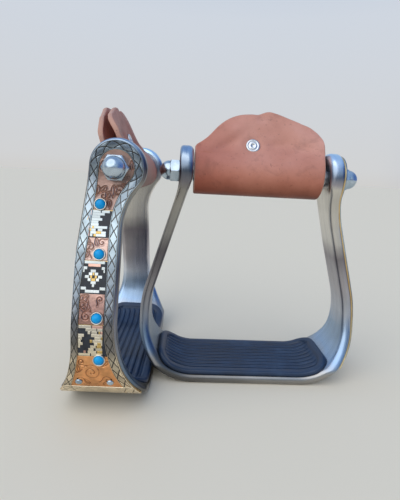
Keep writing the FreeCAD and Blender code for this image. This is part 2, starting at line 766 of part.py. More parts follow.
def make_panels(drills):
    """Copper and pattern panels: one infill, cut across at the panels' ends."""
    window = side_outline("(trim_inset + border_width + panel_gap)",
                          "(trim_rear_inset + border_rear_width + panel_gap)",
                          "border_foot + panel_gap")
    infill = trimmed_body("trim_infill", trim_layer("backplate_thickness", "panel_face"), window)
    panels = []
    for name, low, high in PANELS:
        slab = doc.addObject("Part::Box", f"{name}_slab")
        slab.setExpression("Length", tie("half_width + overrun"))
        slab.setExpression("Width", tie("2 * front_tread_edge"))
        slab.setExpression("Height", tie(f"({high}) - ({low})"))
        slab.setExpression("Placement.Base.y", tie("0 - front_tread_edge"))
        slab.setExpression("Placement.Base.z", tie(low))
        drilled = name in ("copper_top", "copper_bottom")
        label = f"{name}_blank" if drilled else f"right_{name}"
        panel = join("Part::Common", label, Base=infill, Tool=slab)
        if drilled:
            panel = join("Part::Cut", f"right_{name}", Base=panel, Tool=drills)
        panels.append(panel)
    return panels


def make_trim(stud_drill, trim_drills):
    """Backplate, border frame, panels, stones in bezels and two dome-headed screws."""
    drills = join("Part::Compound", "trim_all_drills", Links=[stud_drill, trim_drills])
    outline = side_outline("trim_inset", "trim_rear_inset", "0")
    blank = trimmed_body("backplate_blank", trim_layer("0", "backplate_thickness"), outline)
    backplate = join("Part::Cut", "right_trim_backplate", Base=blank, Tool=drills)
    border = trimmed_body("right_border_plate",
                          trim_layer("backplate_thickness", "(backplate_thickness + border_thickness)"),
                          outline, side_outline("(trim_inset + border_width)",
                                                "(trim_rear_inset + border_rear_width)", "border_foot"))
    bezels, stones = [], []
    for number in ("one", "two", "three", "four"):
        height, side = f"stone_{number}_height", f"stone_{number}_side"
        seat = face_spot(height, side, "panel_face")
        floor = face_spot(height, side, "panel_face + bezel_floor")
        inner = "bezel_radius - bezel_wall"
        cup = at_spot("Part::Cylinder", f"bezel_{number}_cup", seat,
                      {"Radius": "bezel_radius", "Height": "bezel_height"})
        well = at_spot("Part::Cylinder", f"bezel_{number}_well", floor,
                       {"Radius": inner, "Height": "bezel_height"})
        bezels.append(join("Part::Cut", f"bezel_{number}", Base=cup, Tool=well))
        stone = at_spot("Part::Ellipsoid", f"stone_{number}", floor,
                        {"Radius1": "stone_height", "Radius2": f"{inner} - fastener_clearance",
                         "Radius3": f"{inner} - fastener_clearance"})
        stone.Angle1 = 0
        stones.append(stone)
    screws = []
    for side in ("rear_trim_screw_side", "front_trim_screw_side"):
        head = at_spot("Part::Ellipsoid", f"{side}_head", face_spot("trim_screw_height", side, "panel_face"),
                       {"Radius1": "trim_screw_head_height", "Radius2": "trim_screw_head_radius",
                        "Radius3": "trim_screw_head_radius"})
        head.Angle1 = 0
        foot = face_spot("trim_screw_height", side, "panel_face - trim_screw_length")
        shank = at_spot("Part::Cylinder", f"{side}_shank", foot,
                        {"Radius": "trim_screw_radius", "Height": "trim_screw_length"})
        screws.append(join("Part::MultiFuse", f"{side}_screw", Shapes=[head, shank]))
    groups = [("right_stone_bezels", bezels), ("right_turquoise_stones", stones),
              ("right_trim_screws", screws)]
    return ([backplate, border] + make_panels(drills)
            + [join("Part::Compound", name, Links=links) for name, links in groups])


def make_left(right_piece):
    """The left stirrup's copy of a piece: mirrored, turned and set beside the right one."""
    name = right_piece.Label.replace("right_", "left_")
    piece = doc.addObject("Part::Mirroring", name)
    piece.Source = right_piece
    piece.Normal = FreeCAD.Vector(1, 0, 0)
    piece.Placement = FreeCAD.Placement(FreeCAD.Vector(), FreeCAD.Rotation(FreeCAD.Vector(0, 0, 1), 1))
    piece.setExpression("Placement.Base.x", tie("left_shift_x"))
    piece.setExpression("Placement.Base.y", tie("left_shift_y"))
    piece.setExpression("Placement.Rotation.Angle", tie("left_turn"))
    return piece


def check_states():
    """Stops the build if any object of the document failed."""
    for item in doc.Objects:
        if any(word in item.State for word in ("Invalid", "Error")):
            raise RuntimeError(f"{item.Label} failed")


def check_solids(pieces):
    """Stops the build if a piece is empty or isn't a valid solid."""
    for piece in pieces:
        if piece.Shape.isNull() or not piece.Shape.Solids or not piece.Shape.isValid():
            raise RuntimeError(f"{piece.Label} has no valid shape")


stud_drill, trim_drills, sole_drills = make_drills()
right_pieces = [make_frame([stud_drill, trim_drills, sole_drills]), make_pad(sole_drills),
                make_pad_screws(), *make_top_bar(), *make_cover(),
                *make_trim(stud_drill, trim_drills)]
left_pieces = [make_left(piece) for piece in right_pieces]
doc.recompute()

pieces = right_pieces + left_pieces
check_states()
check_solids(pieces)
os.makedirs("parts", exist_ok=True)
for piece in pieces:
    piece.Shape.exportStep(f"parts/{piece.Label}.step")
    print(piece.Label, len(piece.Shape.Solids), round(piece.Shape.Volume, 1))
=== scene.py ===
"""Looks of a pair of inlaid western stirrups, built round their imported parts."""
from math import acos, atan2, cos, hypot, pi, radians, sin, tan

import bmesh
import bpy
import numpy as np
from mathutils import Matrix, Vector


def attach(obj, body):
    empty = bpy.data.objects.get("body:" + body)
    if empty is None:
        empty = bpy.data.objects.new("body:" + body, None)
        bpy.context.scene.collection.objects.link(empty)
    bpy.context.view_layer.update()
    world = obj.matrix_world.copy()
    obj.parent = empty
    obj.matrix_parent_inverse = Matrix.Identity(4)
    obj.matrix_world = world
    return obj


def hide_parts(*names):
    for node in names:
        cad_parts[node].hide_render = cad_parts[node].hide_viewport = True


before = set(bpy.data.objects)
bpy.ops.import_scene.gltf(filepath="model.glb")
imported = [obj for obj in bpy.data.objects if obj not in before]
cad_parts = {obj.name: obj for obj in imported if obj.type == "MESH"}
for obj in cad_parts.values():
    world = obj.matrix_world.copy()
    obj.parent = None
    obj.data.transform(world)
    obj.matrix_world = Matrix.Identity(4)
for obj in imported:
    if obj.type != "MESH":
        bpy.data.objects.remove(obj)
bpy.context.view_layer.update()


# Camera. It stands a quarter of a metre in front of the right stirrup, as high as its bolt,
# looks slightly down and is turned a little on its own axis, as the hand held it.
def in_scene(name, data):
    """New object of some data, in the scene."""
    made = bpy.data.objects.new(name, data)
    bpy.context.scene.collection.objects.link(made)
    return made


camera_data = bpy.data.cameras.new("camera")
camera_data.sensor_width = 36.0
camera_data.lens = 25.68
camera_data.shift_x = -0.0050
camera_data.shift_y = 0.0132
camera_data.clip_start = 0.01
camera_data.clip_end = 30.0
CAMERA_PLACE = (-0.0458, -0.2437, 0.1416)
camera_right = Vector((0.99774, -0.04055, 0.05376))
camera_up = Vector((-0.04254, 0.23934, 0.97000))
camera_axes = Matrix((camera_right, camera_up, camera_right.cross(camera_up)))
camera = in_scene("camera", camera_data)
camera.matrix_world = Matrix.Translation(CAMERA_PLACE) @ camera_axes.transposed().to_4x4()
bpy.context.scene.camera = camera

# Floor and light. A pale sand-coloured studio floor under a soft sky-like dome, cool above and
# darker low in front, with one large soft sun, so that polished metal has a warm and a cool side.
MM = 0.001
NOISE_SPAN = (0.3, 0.7)


def feed(tree, socket, value):
    """Gives an input its value: a socket to link, a number or a colour."""
    if isinstance(value, bpy.types.NodeSocket):
        tree.links.new(value, socket)
    else:
        socket.default_value = (*value, 1) if socket.type == "RGBA" else value


def node(tree, kind, numbered=(), out=0, **values):
    """Output of a new node: small names are settings, capital ones and numbers are inputs."""
    made = tree.nodes.new(kind)
    inputs = dict(numbered)
    for key, value in values.items():
        if key[0].islower():
            setattr(made, key, value)
        else:
            inputs[key.replace("_", " ")] = value
    for key, value in inputs.items():
        feed(tree, made.inputs[key], value)
    return made.outputs[out]


def sums(tree, how, first, second):
    """Two values added, multiplied or the like."""
    return node(tree, "ShaderNodeMath", {0: first, 1: second}, operation=how)


def span(tree, value, low, high, to_low=0.0, to_high=1.0, how="LINEAR"):
    """A value brought from one range to another."""
    return node(tree, "ShaderNodeMapRange", Value=value, From_Min=low, From_Max=high, To_Min=to_low,
                To_Max=to_high, interpolation_type=how)


def axis(tree, place, name):
    """One coordinate of a place."""
    return node(tree, "ShaderNodeSeparateXYZ", out=name, Vector=place)


def noise(tree, source, scale, **values):
    """Noise over a coordinate."""
    return node(tree, "ShaderNodeTexNoise", Vector=source, Scale=scale, **values)


def ramp(tree, source, *stops):
    """Colour ramp over stops (place, red, green, blue) or (place, grey)."""
    made = tree.nodes.new("ShaderNodeValToRGB")
    tree.links.new(source, made.inputs["Fac"])
    while len(made.color_ramp.elements) < len(stops):
        made.color_ramp.elements.new(0.5)
    for element, (place, *colour) in zip(made.color_ramp.elements, stops):
        element.position = place
        element.color = (*(colour * 3)[:3], 1)
    return made.outputs["Color"]


def mixed(tree, first, second, share=1.0, how="MULTIPLY"):
    """One colour laid over another by a share."""
    return node(tree, "ShaderNodeMix", {0: share, 6: first, 7: second}, 2, data_type="RGBA", blend_type=how)


def mark(tree, name):
    """Value that a mesh carries."""
    return node(tree, "ShaderNodeAttribute", out="Fac", attribute_name=name)


def dulled(tree, colour, source, start, end, dark, share=1.0):
    """A colour darkened where a noise is low."""
    return mixed(tree, colour, ramp(tree, source, (start, dark), (end, 1.0)), share)


def new_material(name):
    """New material, its node tree and the object coordinates in it."""
    material = bpy.data.materials.new(name)
    material.use_nodes = True
    tree = material.node_tree
    return material, tree, node(tree, "ShaderNodeTexCoord", out="Object")


def coat(tree, colour, rough, bumps=(), **inputs):
    """Sets a material's colour, roughness (a value, or a noise and its two ends), bumps over each
    other, each (height, strength, depth in mm), and other inputs."""
    if isinstance(rough, tuple):
        rough = span(tree, rough[0], *NOISE_SPAN, *rough[1:])
    normal = {}
    for height, strength, depth in bumps:
        normal = {"Normal": node(tree, "ShaderNodeBump", Height=height, Strength=strength,
                                 Distance=depth * MM, **normal)}
    for key, value in {"Base Color": colour, "Roughness": rough, **normal, **inputs}.items():
        feed(tree, tree.nodes["Principled BSDF"].inputs[key.replace("_", " ")], value)


FLOOR_REACH = 6.0
floor_data = bpy.data.meshes.new("floor")
floor_corners = [(x * FLOOR_REACH, y * FLOOR_REACH, 0) for x, y in ((-1, -1), (1, -1), (1, 1), (-1, 1))]
floor_data.from_pydata(floor_corners, [], [(0, 1, 2, 3)])
floor_paint, tree, _ = new_material("floor_paint")
coat(tree, (0.80, 0.72, 0.58), 0.9, Specular_IOR_Level=0.1)
floor_data.materials.append(floor_paint)
in_scene("floor", floor_data)

SKY_LOW = -0.10
SKY_OVERHEAD = (90, 0.40, 0.58, 0.90)
SIDE_SKY = (0.12, 0.24, 0.60)
FRONT_SKY = ((-5, 0.66, 0.61, 0.52), (-1, 0.50, 0.48, 0.46), (1, 0.30, 0.33, 0.38), (6, 0.32, 0.38, 0.48),
             (11, 0.50, 0.65, 0.86), (17, 0.72, 0.87, 1.0), (45, 0.42, 0.62, 0.95), SKY_OVERHEAD)
REAR_SKY = ((-5, 0.76, 0.72, 0.66), (1, 0.80, 0.81, 0.82), (20, 0.78, 0.84, 0.93), (45, 0.50, 0.66, 0.92),
            SKY_OVERHEAD)
world = bpy.data.worlds.new("sky_dome")
bpy.context.scene.world = world
world.use_nodes = True
tree = world.node_tree
direction = node(tree, "ShaderNodeTexCoord", out="Generated")
climb = span(tree, axis(tree, direction, "Z"), SKY_LOW, 1.0)
behind = span(tree, axis(tree, direction, "Y"), -0.35, 0.35, how="SMOOTHSTEP")
sideways = span(tree, axis(tree, direction, "X"), 0.45, 0.95, how="SMOOTHSTEP")
skies = [ramp(tree, climb, *[((sin(radians(angle)) - SKY_LOW) / (1 - SKY_LOW), *colour)
                             for angle, *colour in stops]) for stops in (FRONT_SKY, REAR_SKY)]
background = tree.nodes["Background"].inputs
feed(tree, background["Color"], mixed(tree, mixed(tree, *skies, behind, "MIX"), SIDE_SKY, sideways, "MIX"))
background["Strength"].default_value = 0.80

sun_data = bpy.data.lights.new("soft_sun", "SUN")
sun_data.angle = radians(80)
sun_data.energy = 1.75
sun_data.color = (1.0, 0.93, 0.83)
SUN_SHINES = (0.45, 0.62, -0.75)
in_scene("soft_sun", sun_data).rotation_euler = Vector(SUN_SHINES).to_track_quat("-Z", "Y").to_euler()


# Cast band of each stirrup: two arms, two eyes and a wide flared tread in one aluminium
# casting, ground along its length and polished by hand, its edges rounded by the wheel.
BOLT_HEIGHT = 140.0
EYE_OFFSET = -9.2
EYE_RADIUS = 15.8
EYE_THICKNESS = 8.5
HALF_WIDTH = 74.3
BAND_THICKNESS = 6.3
CORNER = (36.3, 38.0)
CORNER_RADIUS = 38.0
SHOULDER = (4.3, 43.0)
SHOULDER_RADIUS = 70.0
NECK_HALF_WIDTH = 50.7
NECK = (95.7, 137.3)
NECK_RADIUS = 45.0
INNER_NECK_RADIUS = 12.0
REAR_ARM, FRONT_ARM = 11.3, 12.9
REAR_TREAD, FRONT_TREAD = 21.2, 28.5
REAR_FLARE, FRONT_FLARE = (60.0, 47.0), (82.0, 60.0)
NECK_FILLET = 36.0
EDGE_ROUND, INNER_ROUND = 2.2, 3.3
REAR_LEAN, FRONT_LEAN = radians(6), radians(38)
arm_run, arm_rise = NECK[0] - SHOULDER[0], NECK[1] - SHOULDER[1]
BEND_REACH = SHOULDER_RADIUS + NECK_RADIUS
BAND_LEAN = atan2(arm_rise, arm_run) - acos(BEND_REACH / hypot(arm_run, arm_rise))
LEAN_X, LEAN_Z = cos(BAND_LEAN), sin(BAND_LEAN)
STATIONS = (12, 30, 3, 14, 26, 9, 2)
CROWN_STEPS = 26
ROUND_STEPS = 7
FLAT_SHARES = np.concatenate([[0, 0.012], np.linspace(0.05, 0.95, 15), [0.988, 1]])
SIDES = ("right", "left")
STANDS = {"right": Matrix.Identity(4),
          "left": (Matrix.Translation((-0.0918, 0.0082, 0)) @ Matrix.Rotation(radians(88.6), 4, "Z")
                   @ Matrix.Scale(-1, 4, (1, 0, 0)))}
MERGE = 0.002 * MM
CUTTER_SIDES = 48


def stacked(*values):
    """Points out of numbers, rows or grids of coordinates."""
    return np.stack(np.broadcast_arrays(*values), -1)


def run_along(path):
    """Distance along a path at each of its points."""
    return np.concatenate([[0], np.cumsum(np.linalg.norm(np.diff(path, axis=0), axis=1))])


def line(start, end, count):
    """Points from start up to, and without, end."""
    return np.array(start) + (np.array(end) - np.array(start)) * (np.arange(count)[:, None] / count)


def arc(centre, radius, start, end, count):
    """Points of an arc up to, and without, its end, angles in radians."""
    angle = start + (end - start) * np.arange(count) / count
    return stacked(centre[0] + radius * np.cos(angle), centre[1] + radius * np.sin(angle))


def band_profile(inner):
    """Half of the band from the front, from the sole's middle to the eye, on one face: (x, z)."""
    depth = BAND_THICKNESS if inner else 0.0
    shoulder = SHOULDER_RADIUS - depth
    slope = (SHOULDER[0] + shoulder * LEAN_X, SHOULDER[1] + shoulder * LEAN_Z)
    neck, bend = NECK, NECK_RADIUS
    if inner:
        bend = INNER_NECK_RADIUS
        eye_side = NECK_HALF_WIDTH - EYE_THICKNESS
        high_z = slope[1] + (slope[0] - eye_side - bend * (1 - LEAN_X)) / tan(BAND_LEAN)
        neck = (eye_side + bend, high_z + bend * LEAN_Z)
    eye_x, wide = neck[0] - bend, HALF_WIDTH - depth
    parts = ((line, (0, depth), (CORNER[0], depth)), (arc, CORNER, CORNER_RADIUS - depth, -pi / 2, 0),
             (line, (wide, CORNER[1]), (wide, SHOULDER[1])), (arc, SHOULDER, shoulder, 0, BAND_LEAN),
             (line, slope, (neck[0] - bend * LEAN_X, neck[1] - bend * LEAN_Z)),
             (arc, neck, bend, pi + BAND_LEAN, pi), (line, (eye_x, neck[1]), (eye_x, BOLT_HEIGHT)))
    return np.concatenate([draw(*given, count) for (draw, *given), count in zip(parts, STATIONS)])


def flare(height, inset, arm, tread, bend):
    """How far an edge of the arm stands out from the arm's middle, below its eye."""
    radius, top = bend
    below = np.clip(top - height, 0, top - 1)
    return np.minimum(tread - inset, arm + radius - np.sqrt((radius + inset) ** 2 - below ** 2))


def eye_half_chord(height, eye):
    """Half the width of the eye's circle at a height."""
    return np.sqrt(np.clip(eye ** 2 - (height - BOLT_HEIGHT) ** 2, 0, None))


def rear_edge(height, inset, rear_inset=None):
    """How far back the arm reaches at a height, inside its outline by an inset, and by another
    inset along its straight rear side."""
    rear_inset = inset if rear_inset is None else rear_inset
    eye, edge = EYE_RADIUS - inset, REAR_ARM - rear_inset
    touch = eye * cos(REAR_LEAN) + EYE_OFFSET
    touch_height = BOLT_HEIGHT + eye * sin(REAR_LEAN)
    bend_height = touch_height - (edge - touch) / tan(REAR_LEAN)
    y = flare(height, rear_inset, REAR_ARM, REAR_TREAD, REAR_FLARE)
    y = np.where(height > bend_height, edge - (height - bend_height) * tan(REAR_LEAN), y)
    return np.where(height > touch_height, EYE_OFFSET + eye_half_chord(height, eye), y)


def front_edge(height, inset):
    """How far forward the arm reaches at a height, an inset inside its outline."""
    eye, edge, fillet = EYE_RADIUS - inset, FRONT_ARM - inset, NECK_FILLET + inset
    touch = EYE_OFFSET - eye * cos(FRONT_LEAN)
    touch_height = BOLT_HEIGHT - eye * sin(FRONT_LEAN)
    ease = fillet * tan(FRONT_LEAN / 2)
    bend_height = touch_height + (touch + edge) / tan(FRONT_LEAN) - ease
    slope_height = bend_height + ease + ease * cos(FRONT_LEAN)
    slope = -edge - ease * sin(FRONT_LEAN) - (height - slope_height) * tan(FRONT_LEAN)
    rise = np.clip(height - bend_height, 0, fillet)
    y = -flare(height, inset, FRONT_ARM, FRONT_TREAD, FRONT_FLARE)
    y = np.where(height > bend_height, -edge - fillet + np.sqrt(fillet ** 2 - rise ** 2), y)
    y = np.where(height > slope_height, slope, y)
    return np.where(height > touch_height, EYE_OFFSET - eye_half_chord(height, eye), y)


def grid_faces(rows, columns, around=False, start=0):
    """Quads between neighbouring points of a grid, and their (row, column) corners."""
    wide = columns if around else columns - 1
    row, column = [a.ravel() for a in np.meshgrid(np.arange(rows - 1), np.arange(wide), indexing="ij")]
    corners = [(row, column), (row + 1, column), (row + 1, column + 1), (row, column + 1)]
    quads = np.stack([start + r * columns + c % columns for r, c in corners], -1)
    return quads, np.stack([np.stack(pair, -1) for pair in corners], 1)


def new_mesh(name, points, quads, material, uv=None, paint=None, sharp=None):
    """Closed smooth mesh of quads from points in mm, doubles merged and faces turned outwards."""
    mesh = bpy.data.meshes.new(name)
    mesh.from_pydata((points.reshape(-1, 3) * MM).tolist(), [], quads.tolist())
    if uv is not None:
        layer = mesh.uv_layers.new(name="along_and_across")
        layer.data.foreach_set("uv", np.asarray(uv, np.float32).ravel())
    if paint is not None:
        layer = mesh.attributes.new("paint", "FLOAT", "POINT")
        layer.data.foreach_set("value", np.asarray(paint, np.float32).ravel())
    shape = bmesh.new()
    shape.from_mesh(mesh)
    bmesh.ops.remove_doubles(shape, verts=shape.verts, dist=MERGE)
    bmesh.ops.recalc_face_normals(shape, faces=shape.faces)
    if shape.calc_volume(signed=True) < 0:
        bmesh.ops.reverse_faces(shape, faces=shape.faces)
    shape.to_mesh(mesh)
    shape.free()
    mesh.shade_smooth()
    if sharp is not None:
        mesh.set_sharp_from_angle(angle=radians(sharp))
    mesh.materials.append(material)
    return mesh


def new_piece(name, mesh, side="right"):
    """Piece of a mesh made in the right stirrup's frame, set where that side's stirrup stands."""
    mesh.transform(STANDS[side])
    if side == "left":
        mesh.flip_normals()
    return in_scene(name, mesh)


def shown_mesh(piece):
    """Plain mesh of what a piece's modifiers show."""
    return bpy.data.meshes.new_from_object(piece.evaluated_get(bpy.context.evaluated_depsgraph_get()))


def bore(piece, cutters):
    """Cuts closed shapes out of a piece."""
    for cutter in cutters:
        cut = piece.modifiers.new("bore", "BOOLEAN")
        cut.operation = "DIFFERENCE"
        cut.solver = "EXACT"
        cut.object = cutter
    mesh = shown_mesh(piece)
    piece.modifiers.clear()
    piece.data = mesh
    for cutter in cutters:
        bpy.data.objects.remove(cutter)


def round_cutter(side, start, end, start_radius, end_radius):
    """Round shape between two points of the right stirrup's frame, to cut with."""
    start, end = Vector(start) * MM, Vector(end) * MM
    turn = (end - start).to_track_quat("Z", "Y").to_matrix().to_4x4()
    shape = bmesh.new()
    bmesh.ops.create_cone(shape, cap_ends=True, segments=CUTTER_SIDES, radius1=start_radius * MM,
                          radius2=end_radius * MM, depth=(end - start).length,
                          matrix=Matrix.Translation((start + end) / 2) @ turn)
    mesh = bpy.data.meshes.new("cutter")
    shape.to_mesh(mesh)
    shape.free()
    return new_piece("cutter", mesh, side)


def by_height(tree, place, stops, waver, size=60.0):
    """Colour by height above the ground in mm, its borders wavering by so many mm."""
    shift = span(tree, noise(tree, place, size, Detail=3.0), *NOISE_SPAN, -waver * MM, waver * MM)
    share = span(tree, sums(tree, "ADD", axis(tree, place, "Z"), shift), 0.0, TONE_TOP * MM)
    return ramp(tree, share, *[(height / TONE_TOP, *colour) for height, *colour in stops])


TONE_TOP = 180.0
# Painted reflection: the casting's tone by height stands in for the sky and floor it mirrors, with light and
# dark bands up the arms, dark below the eye, blue at the eye and bluish at the corners.
BAND_REFLECTION_TONES = ((4, 0.20, 0.195, 0.19), (13, 0.22, 0.215, 0.205), (21, 0.17, 0.24, 0.34),
              (36, 0.20, 0.26, 0.34), (46, 0.36, 0.38, 0.42), (64, 0.33, 0.315, 0.33),
              (86, 0.18, 0.165, 0.175), (97, 0.36, 0.345, 0.32), (133, 0.40, 0.38, 0.34),
              (137, 0.22, 0.21, 0.23), (143, 0.11, 0.13, 0.165), (148, 0.24, 0.30, 0.38),
              (151, 0.48, 0.57, 0.66), (158, 0.32, 0.48, 0.72))
cast_aluminium, tree, place = new_material("hand_polished_cast_aluminium")
along = node(tree, "ShaderNodeUVMap", uv_map="along_and_across")
grinding, wheel = [node(tree, "ShaderNodeMapping", Vector=along, Scale=scale)
                   for scale in ((26, 2300, 1), (10, 300, 1))]
strokes = noise(tree, grinding, 1.0, Detail=4.0, Roughness=0.62)
cloud = noise(tree, place, 24.0, Detail=3.0)
# The casting's colour: painted reflection by height, dulled by random cloud, wheel and stroke marks.
colour_and_painted_light = by_height(tree, place, BAND_REFLECTION_TONES, waver=5.0, size=22.0)
colour_and_painted_light = dulled(tree, colour_and_painted_light, cloud, 0.36, 0.60, 0.72)
colour_and_painted_light = dulled(tree, colour_and_painted_light, noise(tree, wheel, 1.0, Detail=2.0), 0.34, 0.60, 0.90)
colour_and_painted_light = dulled(tree, colour_and_painted_light, strokes, 0.36, 0.56, 0.92)
# Painted reflection: the casting is painted brighter, up to about twice, towards +X and towards +Y.
for way, low, high, most in (("X", -0.04, 0.05, 1.95), ("Y", 0.03, 0.06, 2.2)):
    colour_and_painted_light = mixed(tree, colour_and_painted_light, span(tree, axis(tree, place, way), low, high, 1.0, most))
coat(tree, colour_and_painted_light, (strokes, 0.24, 0.38), Metallic=1.0, bumps=(
    (strokes, 0.07, 0.03), (cloud, 0.20, 1.2), (noise(tree, place, 480.0, Detail=2.0), 0.08, 0.05)))


def band_columns():
    """Round the band's section: depth from a face, inset, share from front to rear, face inner."""
    turn = np.linspace(0, pi / 2, ROUND_STEPS)
    outer, inner = [[(radius * (1 - cos(a)), radius * (1 - sin(a))) for a in turn]
                    for radius in (EDGE_ROUND, INNER_ROUND)]
    return ([(0, EDGE_ROUND, share, False) for share in FLAT_SHARES[:-1]]
            + [(*spot, 1.0, False) for spot in outer] + [(*spot, 1.0, True) for spot in inner[::-1]]
            + [(0, INNER_ROUND, share, True) for share in FLAT_SHARES[-2:0:-1]]
            + [(*spot, 0.0, True) for spot in inner] + [(*spot, 0.0, False) for spot in outer[:0:-1]])


def band_points():
    """Grid of the casting's surface in the right frame: along the band, then round its section."""
    outer, inner = band_profile(False), band_profile(True)
    thickness = np.linalg.norm(inner - outer, axis=1)
    crown = np.sin(np.linspace(0, pi / 2, CROWN_STEPS))
    half = []
    for depth, inset, share, from_inside in band_columns():
        part, top_part = depth / thickness, depth / EYE_THICKNESS
        if from_inside:
            part, top_part = 1 - part, 1 - top_part
        top = stacked(NECK_HALF_WIDTH - EYE_THICKNESS * top_part, BOLT_HEIGHT + (EYE_RADIUS - inset) * crown)
        x, z = np.concatenate([outer + (inner - outer) * part[:, None], top]).T
        front = front_edge(z, inset)
        half.append(stacked(x, front + (rear_edge(z, inset) - front) * share, z))
    half = np.stack(half, 1)
    return np.concatenate([half[:0:-1] * np.array([-1, 1, 1]), half])


points = band_points()
length = run_along(points[:, 0])
arm_ring = points[len(points) // 2 + sum(STATIONS[:4])]
width = run_along(np.append(arm_ring, arm_ring[:1], axis=0))
quads, corners = grid_faces(points.shape[0], points.shape[1], around=True)
band_uv = stacked(length[corners[..., 0]], width[corners[..., 1]]) * MM
STUD_HOLE = 4.1
SCREW_PLACES = (-30, 30)
SCREW_CUTS = (((-1, 0.6), (4.1, 4.1)), ((0.55, 2.65), (4.15, 2.05)), ((0.5, 8), (2.1, 2.1)))
for side in SIDES:
    mesh = new_mesh(f"{side}_cast_band", points, quads, cast_aluminium, uv=band_uv)
    band = new_piece(f"{side}_cast_band", mesh, side)
    ends = [(x, EYE_OFFSET, BOLT_HEIGHT) for x in (-HALF_WIDTH, HALF_WIDTH)]
    bore(band, [round_cutter(side, *ends, STUD_HOLE, STUD_HOLE)]
         + [round_cutter(side, (x, 0, low), (x, 0, high), *radii)
            for x in SCREW_PLACES for (low, high), radii in SCREW_CUTS])
    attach(band, f"{side}_stirrup")
    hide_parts(f"{side}_frame")


# Rubber tread pad. A dark moulded sheet with a smooth raised rim and a gutter round a field of
# ribs along its length, bent up into both corners and screwed from below.
PAD_UNDER = CORNER_RADIUS - BAND_THICKNESS
PAD_THICKNESS = 3.0
PAD_END_ANGLE = radians(48)
PAD_FRONT, PAD_REAR = -27.5, 20.2
PAD_CORNER = 13.0
PAD_REACH = CORNER[0] + PAD_UNDER * PAD_END_ANGLE
PAD_SHIFT = -1.8
PAD_EDGE = 1.3
RIM_WIDTH = 4.6
RIM_HOLLOW = 0.25
GUTTER_WIDTH, GUTTER_DEPTH = 1.5, 0.5
SOFT = 0.6
FIELD_LEVEL = 1.7
RIB_COUNT = 8
RIB_WIDTH = 3.0
RIB_HEIGHT = 1.15
RIB_PITCH = 4.32
RIB_TAPER = 3.0
RIB_REACH = PAD_REACH - RIM_WIDTH - GUTTER_WIDTH
RIB_SINK = 0.1


def shell(name, top, bottom, material, uv=None, paint=None, sharp=None):
    """Closed mesh between an upper and a lower grid of points in the right stirrup's frame."""
    rows, columns = top.shape[:2]
    upper, upper_corners = grid_faces(rows, columns)
    lower, lower_corners = grid_faces(rows, columns, start=rows * columns)
    index = np.arange(rows * columns).reshape(rows, columns)
    place = np.stack(np.meshgrid(np.arange(rows), np.arange(columns), indexing="ij"), -1)
    quads, corners = [upper, lower[:, ::-1]], [upper_corners, lower_corners[:, ::-1]]
    for edge in ((slice(None), 0), (slice(None), -1), (0, slice(None)), (-1, slice(None))):
        ids, spots = index[edge], place[edge]
        quads.append(stacked(ids[:-1], ids[1:], ids[1:] + rows * columns, ids[:-1] + rows * columns))
        corners.append(np.stack([spots[:-1], spots[1:], spots[1:], spots[:-1]], 1))
    corners = np.concatenate(corners)
    loops = None if uv is None else uv[corners[..., 0], corners[..., 1]]
    marks = None if paint is None else [np.broadcast_to(values, (rows, columns)) for values in paint]
    return new_mesh(name, np.stack([top, bottom]), np.concatenate(quads), material, loops, marks, sharp)


def rounded(distance, radius):
    """Height taken off near an edge, so that the edge is a quarter round."""
    return radius - np.sqrt(radius ** 2 - np.clip(radius - distance, 0, radius) ** 2)


def smooth_step(value, low, high):
    """0 below low, 1 above high, and a smooth rise between."""
    share = np.clip((value - low) / (high - low), 0, 1)
    return share * share * (3 - 2 * share)


def on_tread(along, y, height):
    """Points over the tread: distance along it, depth, and height above the metal."""
    along = along + PAD_SHIFT
    flat = np.clip(along, -CORNER[0], CORNER[0])
    angle = (along - flat) / PAD_UNDER
    radius = PAD_UNDER - height
    return stacked(flat + radius * np.sin(angle), y, CORNER[1] - radius * np.cos(angle))


def pad_grids():
    """Upper and lower surface of the pad: rows along the tread, columns from front to rear."""
    straight = PAD_REACH - PAD_CORNER
    turn = np.linspace(0, pi / 2, 16)
    end = straight + PAD_CORNER * np.sin(turn)
    along = np.concatenate([-end[::-1], np.linspace(-straight, straight, 200)[1:-1], end])[:, None]
    over = np.clip(np.abs(along) - straight, 0, PAD_CORNER)
    middle, half = (PAD_FRONT + PAD_REAR) / 2, (PAD_REAR - PAD_FRONT) / 2
    reach = half - PAD_CORNER + np.sqrt(PAD_CORNER ** 2 - over ** 2)
    edge = np.array([0, 0.003, 0.008, 0.015])
    share = np.concatenate([edge, np.linspace(0.024, 0.976, 110), 1 - edge[::-1]])
    y = middle + reach * (2 * share - 1)
    beyond = stacked(np.abs(along) - straight, np.abs(y - middle) - half + PAD_CORNER)
    near = PAD_CORNER - np.linalg.norm(np.clip(beyond, 0, None), axis=-1) - np.clip(beyond.max(-1), None, 0)
    across = np.clip(near, 0, RIM_WIDTH) / RIM_WIDTH - 0.5
    rim = PAD_THICKNESS - rounded(near, PAD_EDGE) - RIM_HOLLOW * across ** 2
    inner = smooth_step(near, RIM_WIDTH, RIM_WIDTH + SOFT)
    gutter = GUTTER_DEPTH * np.exp(-((near - RIM_WIDTH - GUTTER_WIDTH / 2) / SOFT) ** 2)
    top = rim * (1 - inner) + FIELD_LEVEL * inner - gutter
    return on_tread(along, y, top), on_tread(along, y, 0 * y)


def new_tree(name, **inputs):
    """Geometry node tree that takes a mesh and named inputs of the given kinds."""
    tree = bpy.data.node_groups.new(name, "GeometryNodeTree")
    tree.interface.new_socket("Geometry", in_out="INPUT", socket_type="NodeSocketGeometry")
    for label, kind in inputs.items():
        tree.interface.new_socket(label, in_out="INPUT", socket_type=f"NodeSocket{kind}")
    tree.interface.new_socket("Geometry", in_out="OUTPUT", socket_type="NodeSocketGeometry")
    return tree, tree.nodes.new("NodeGroupInput").outputs


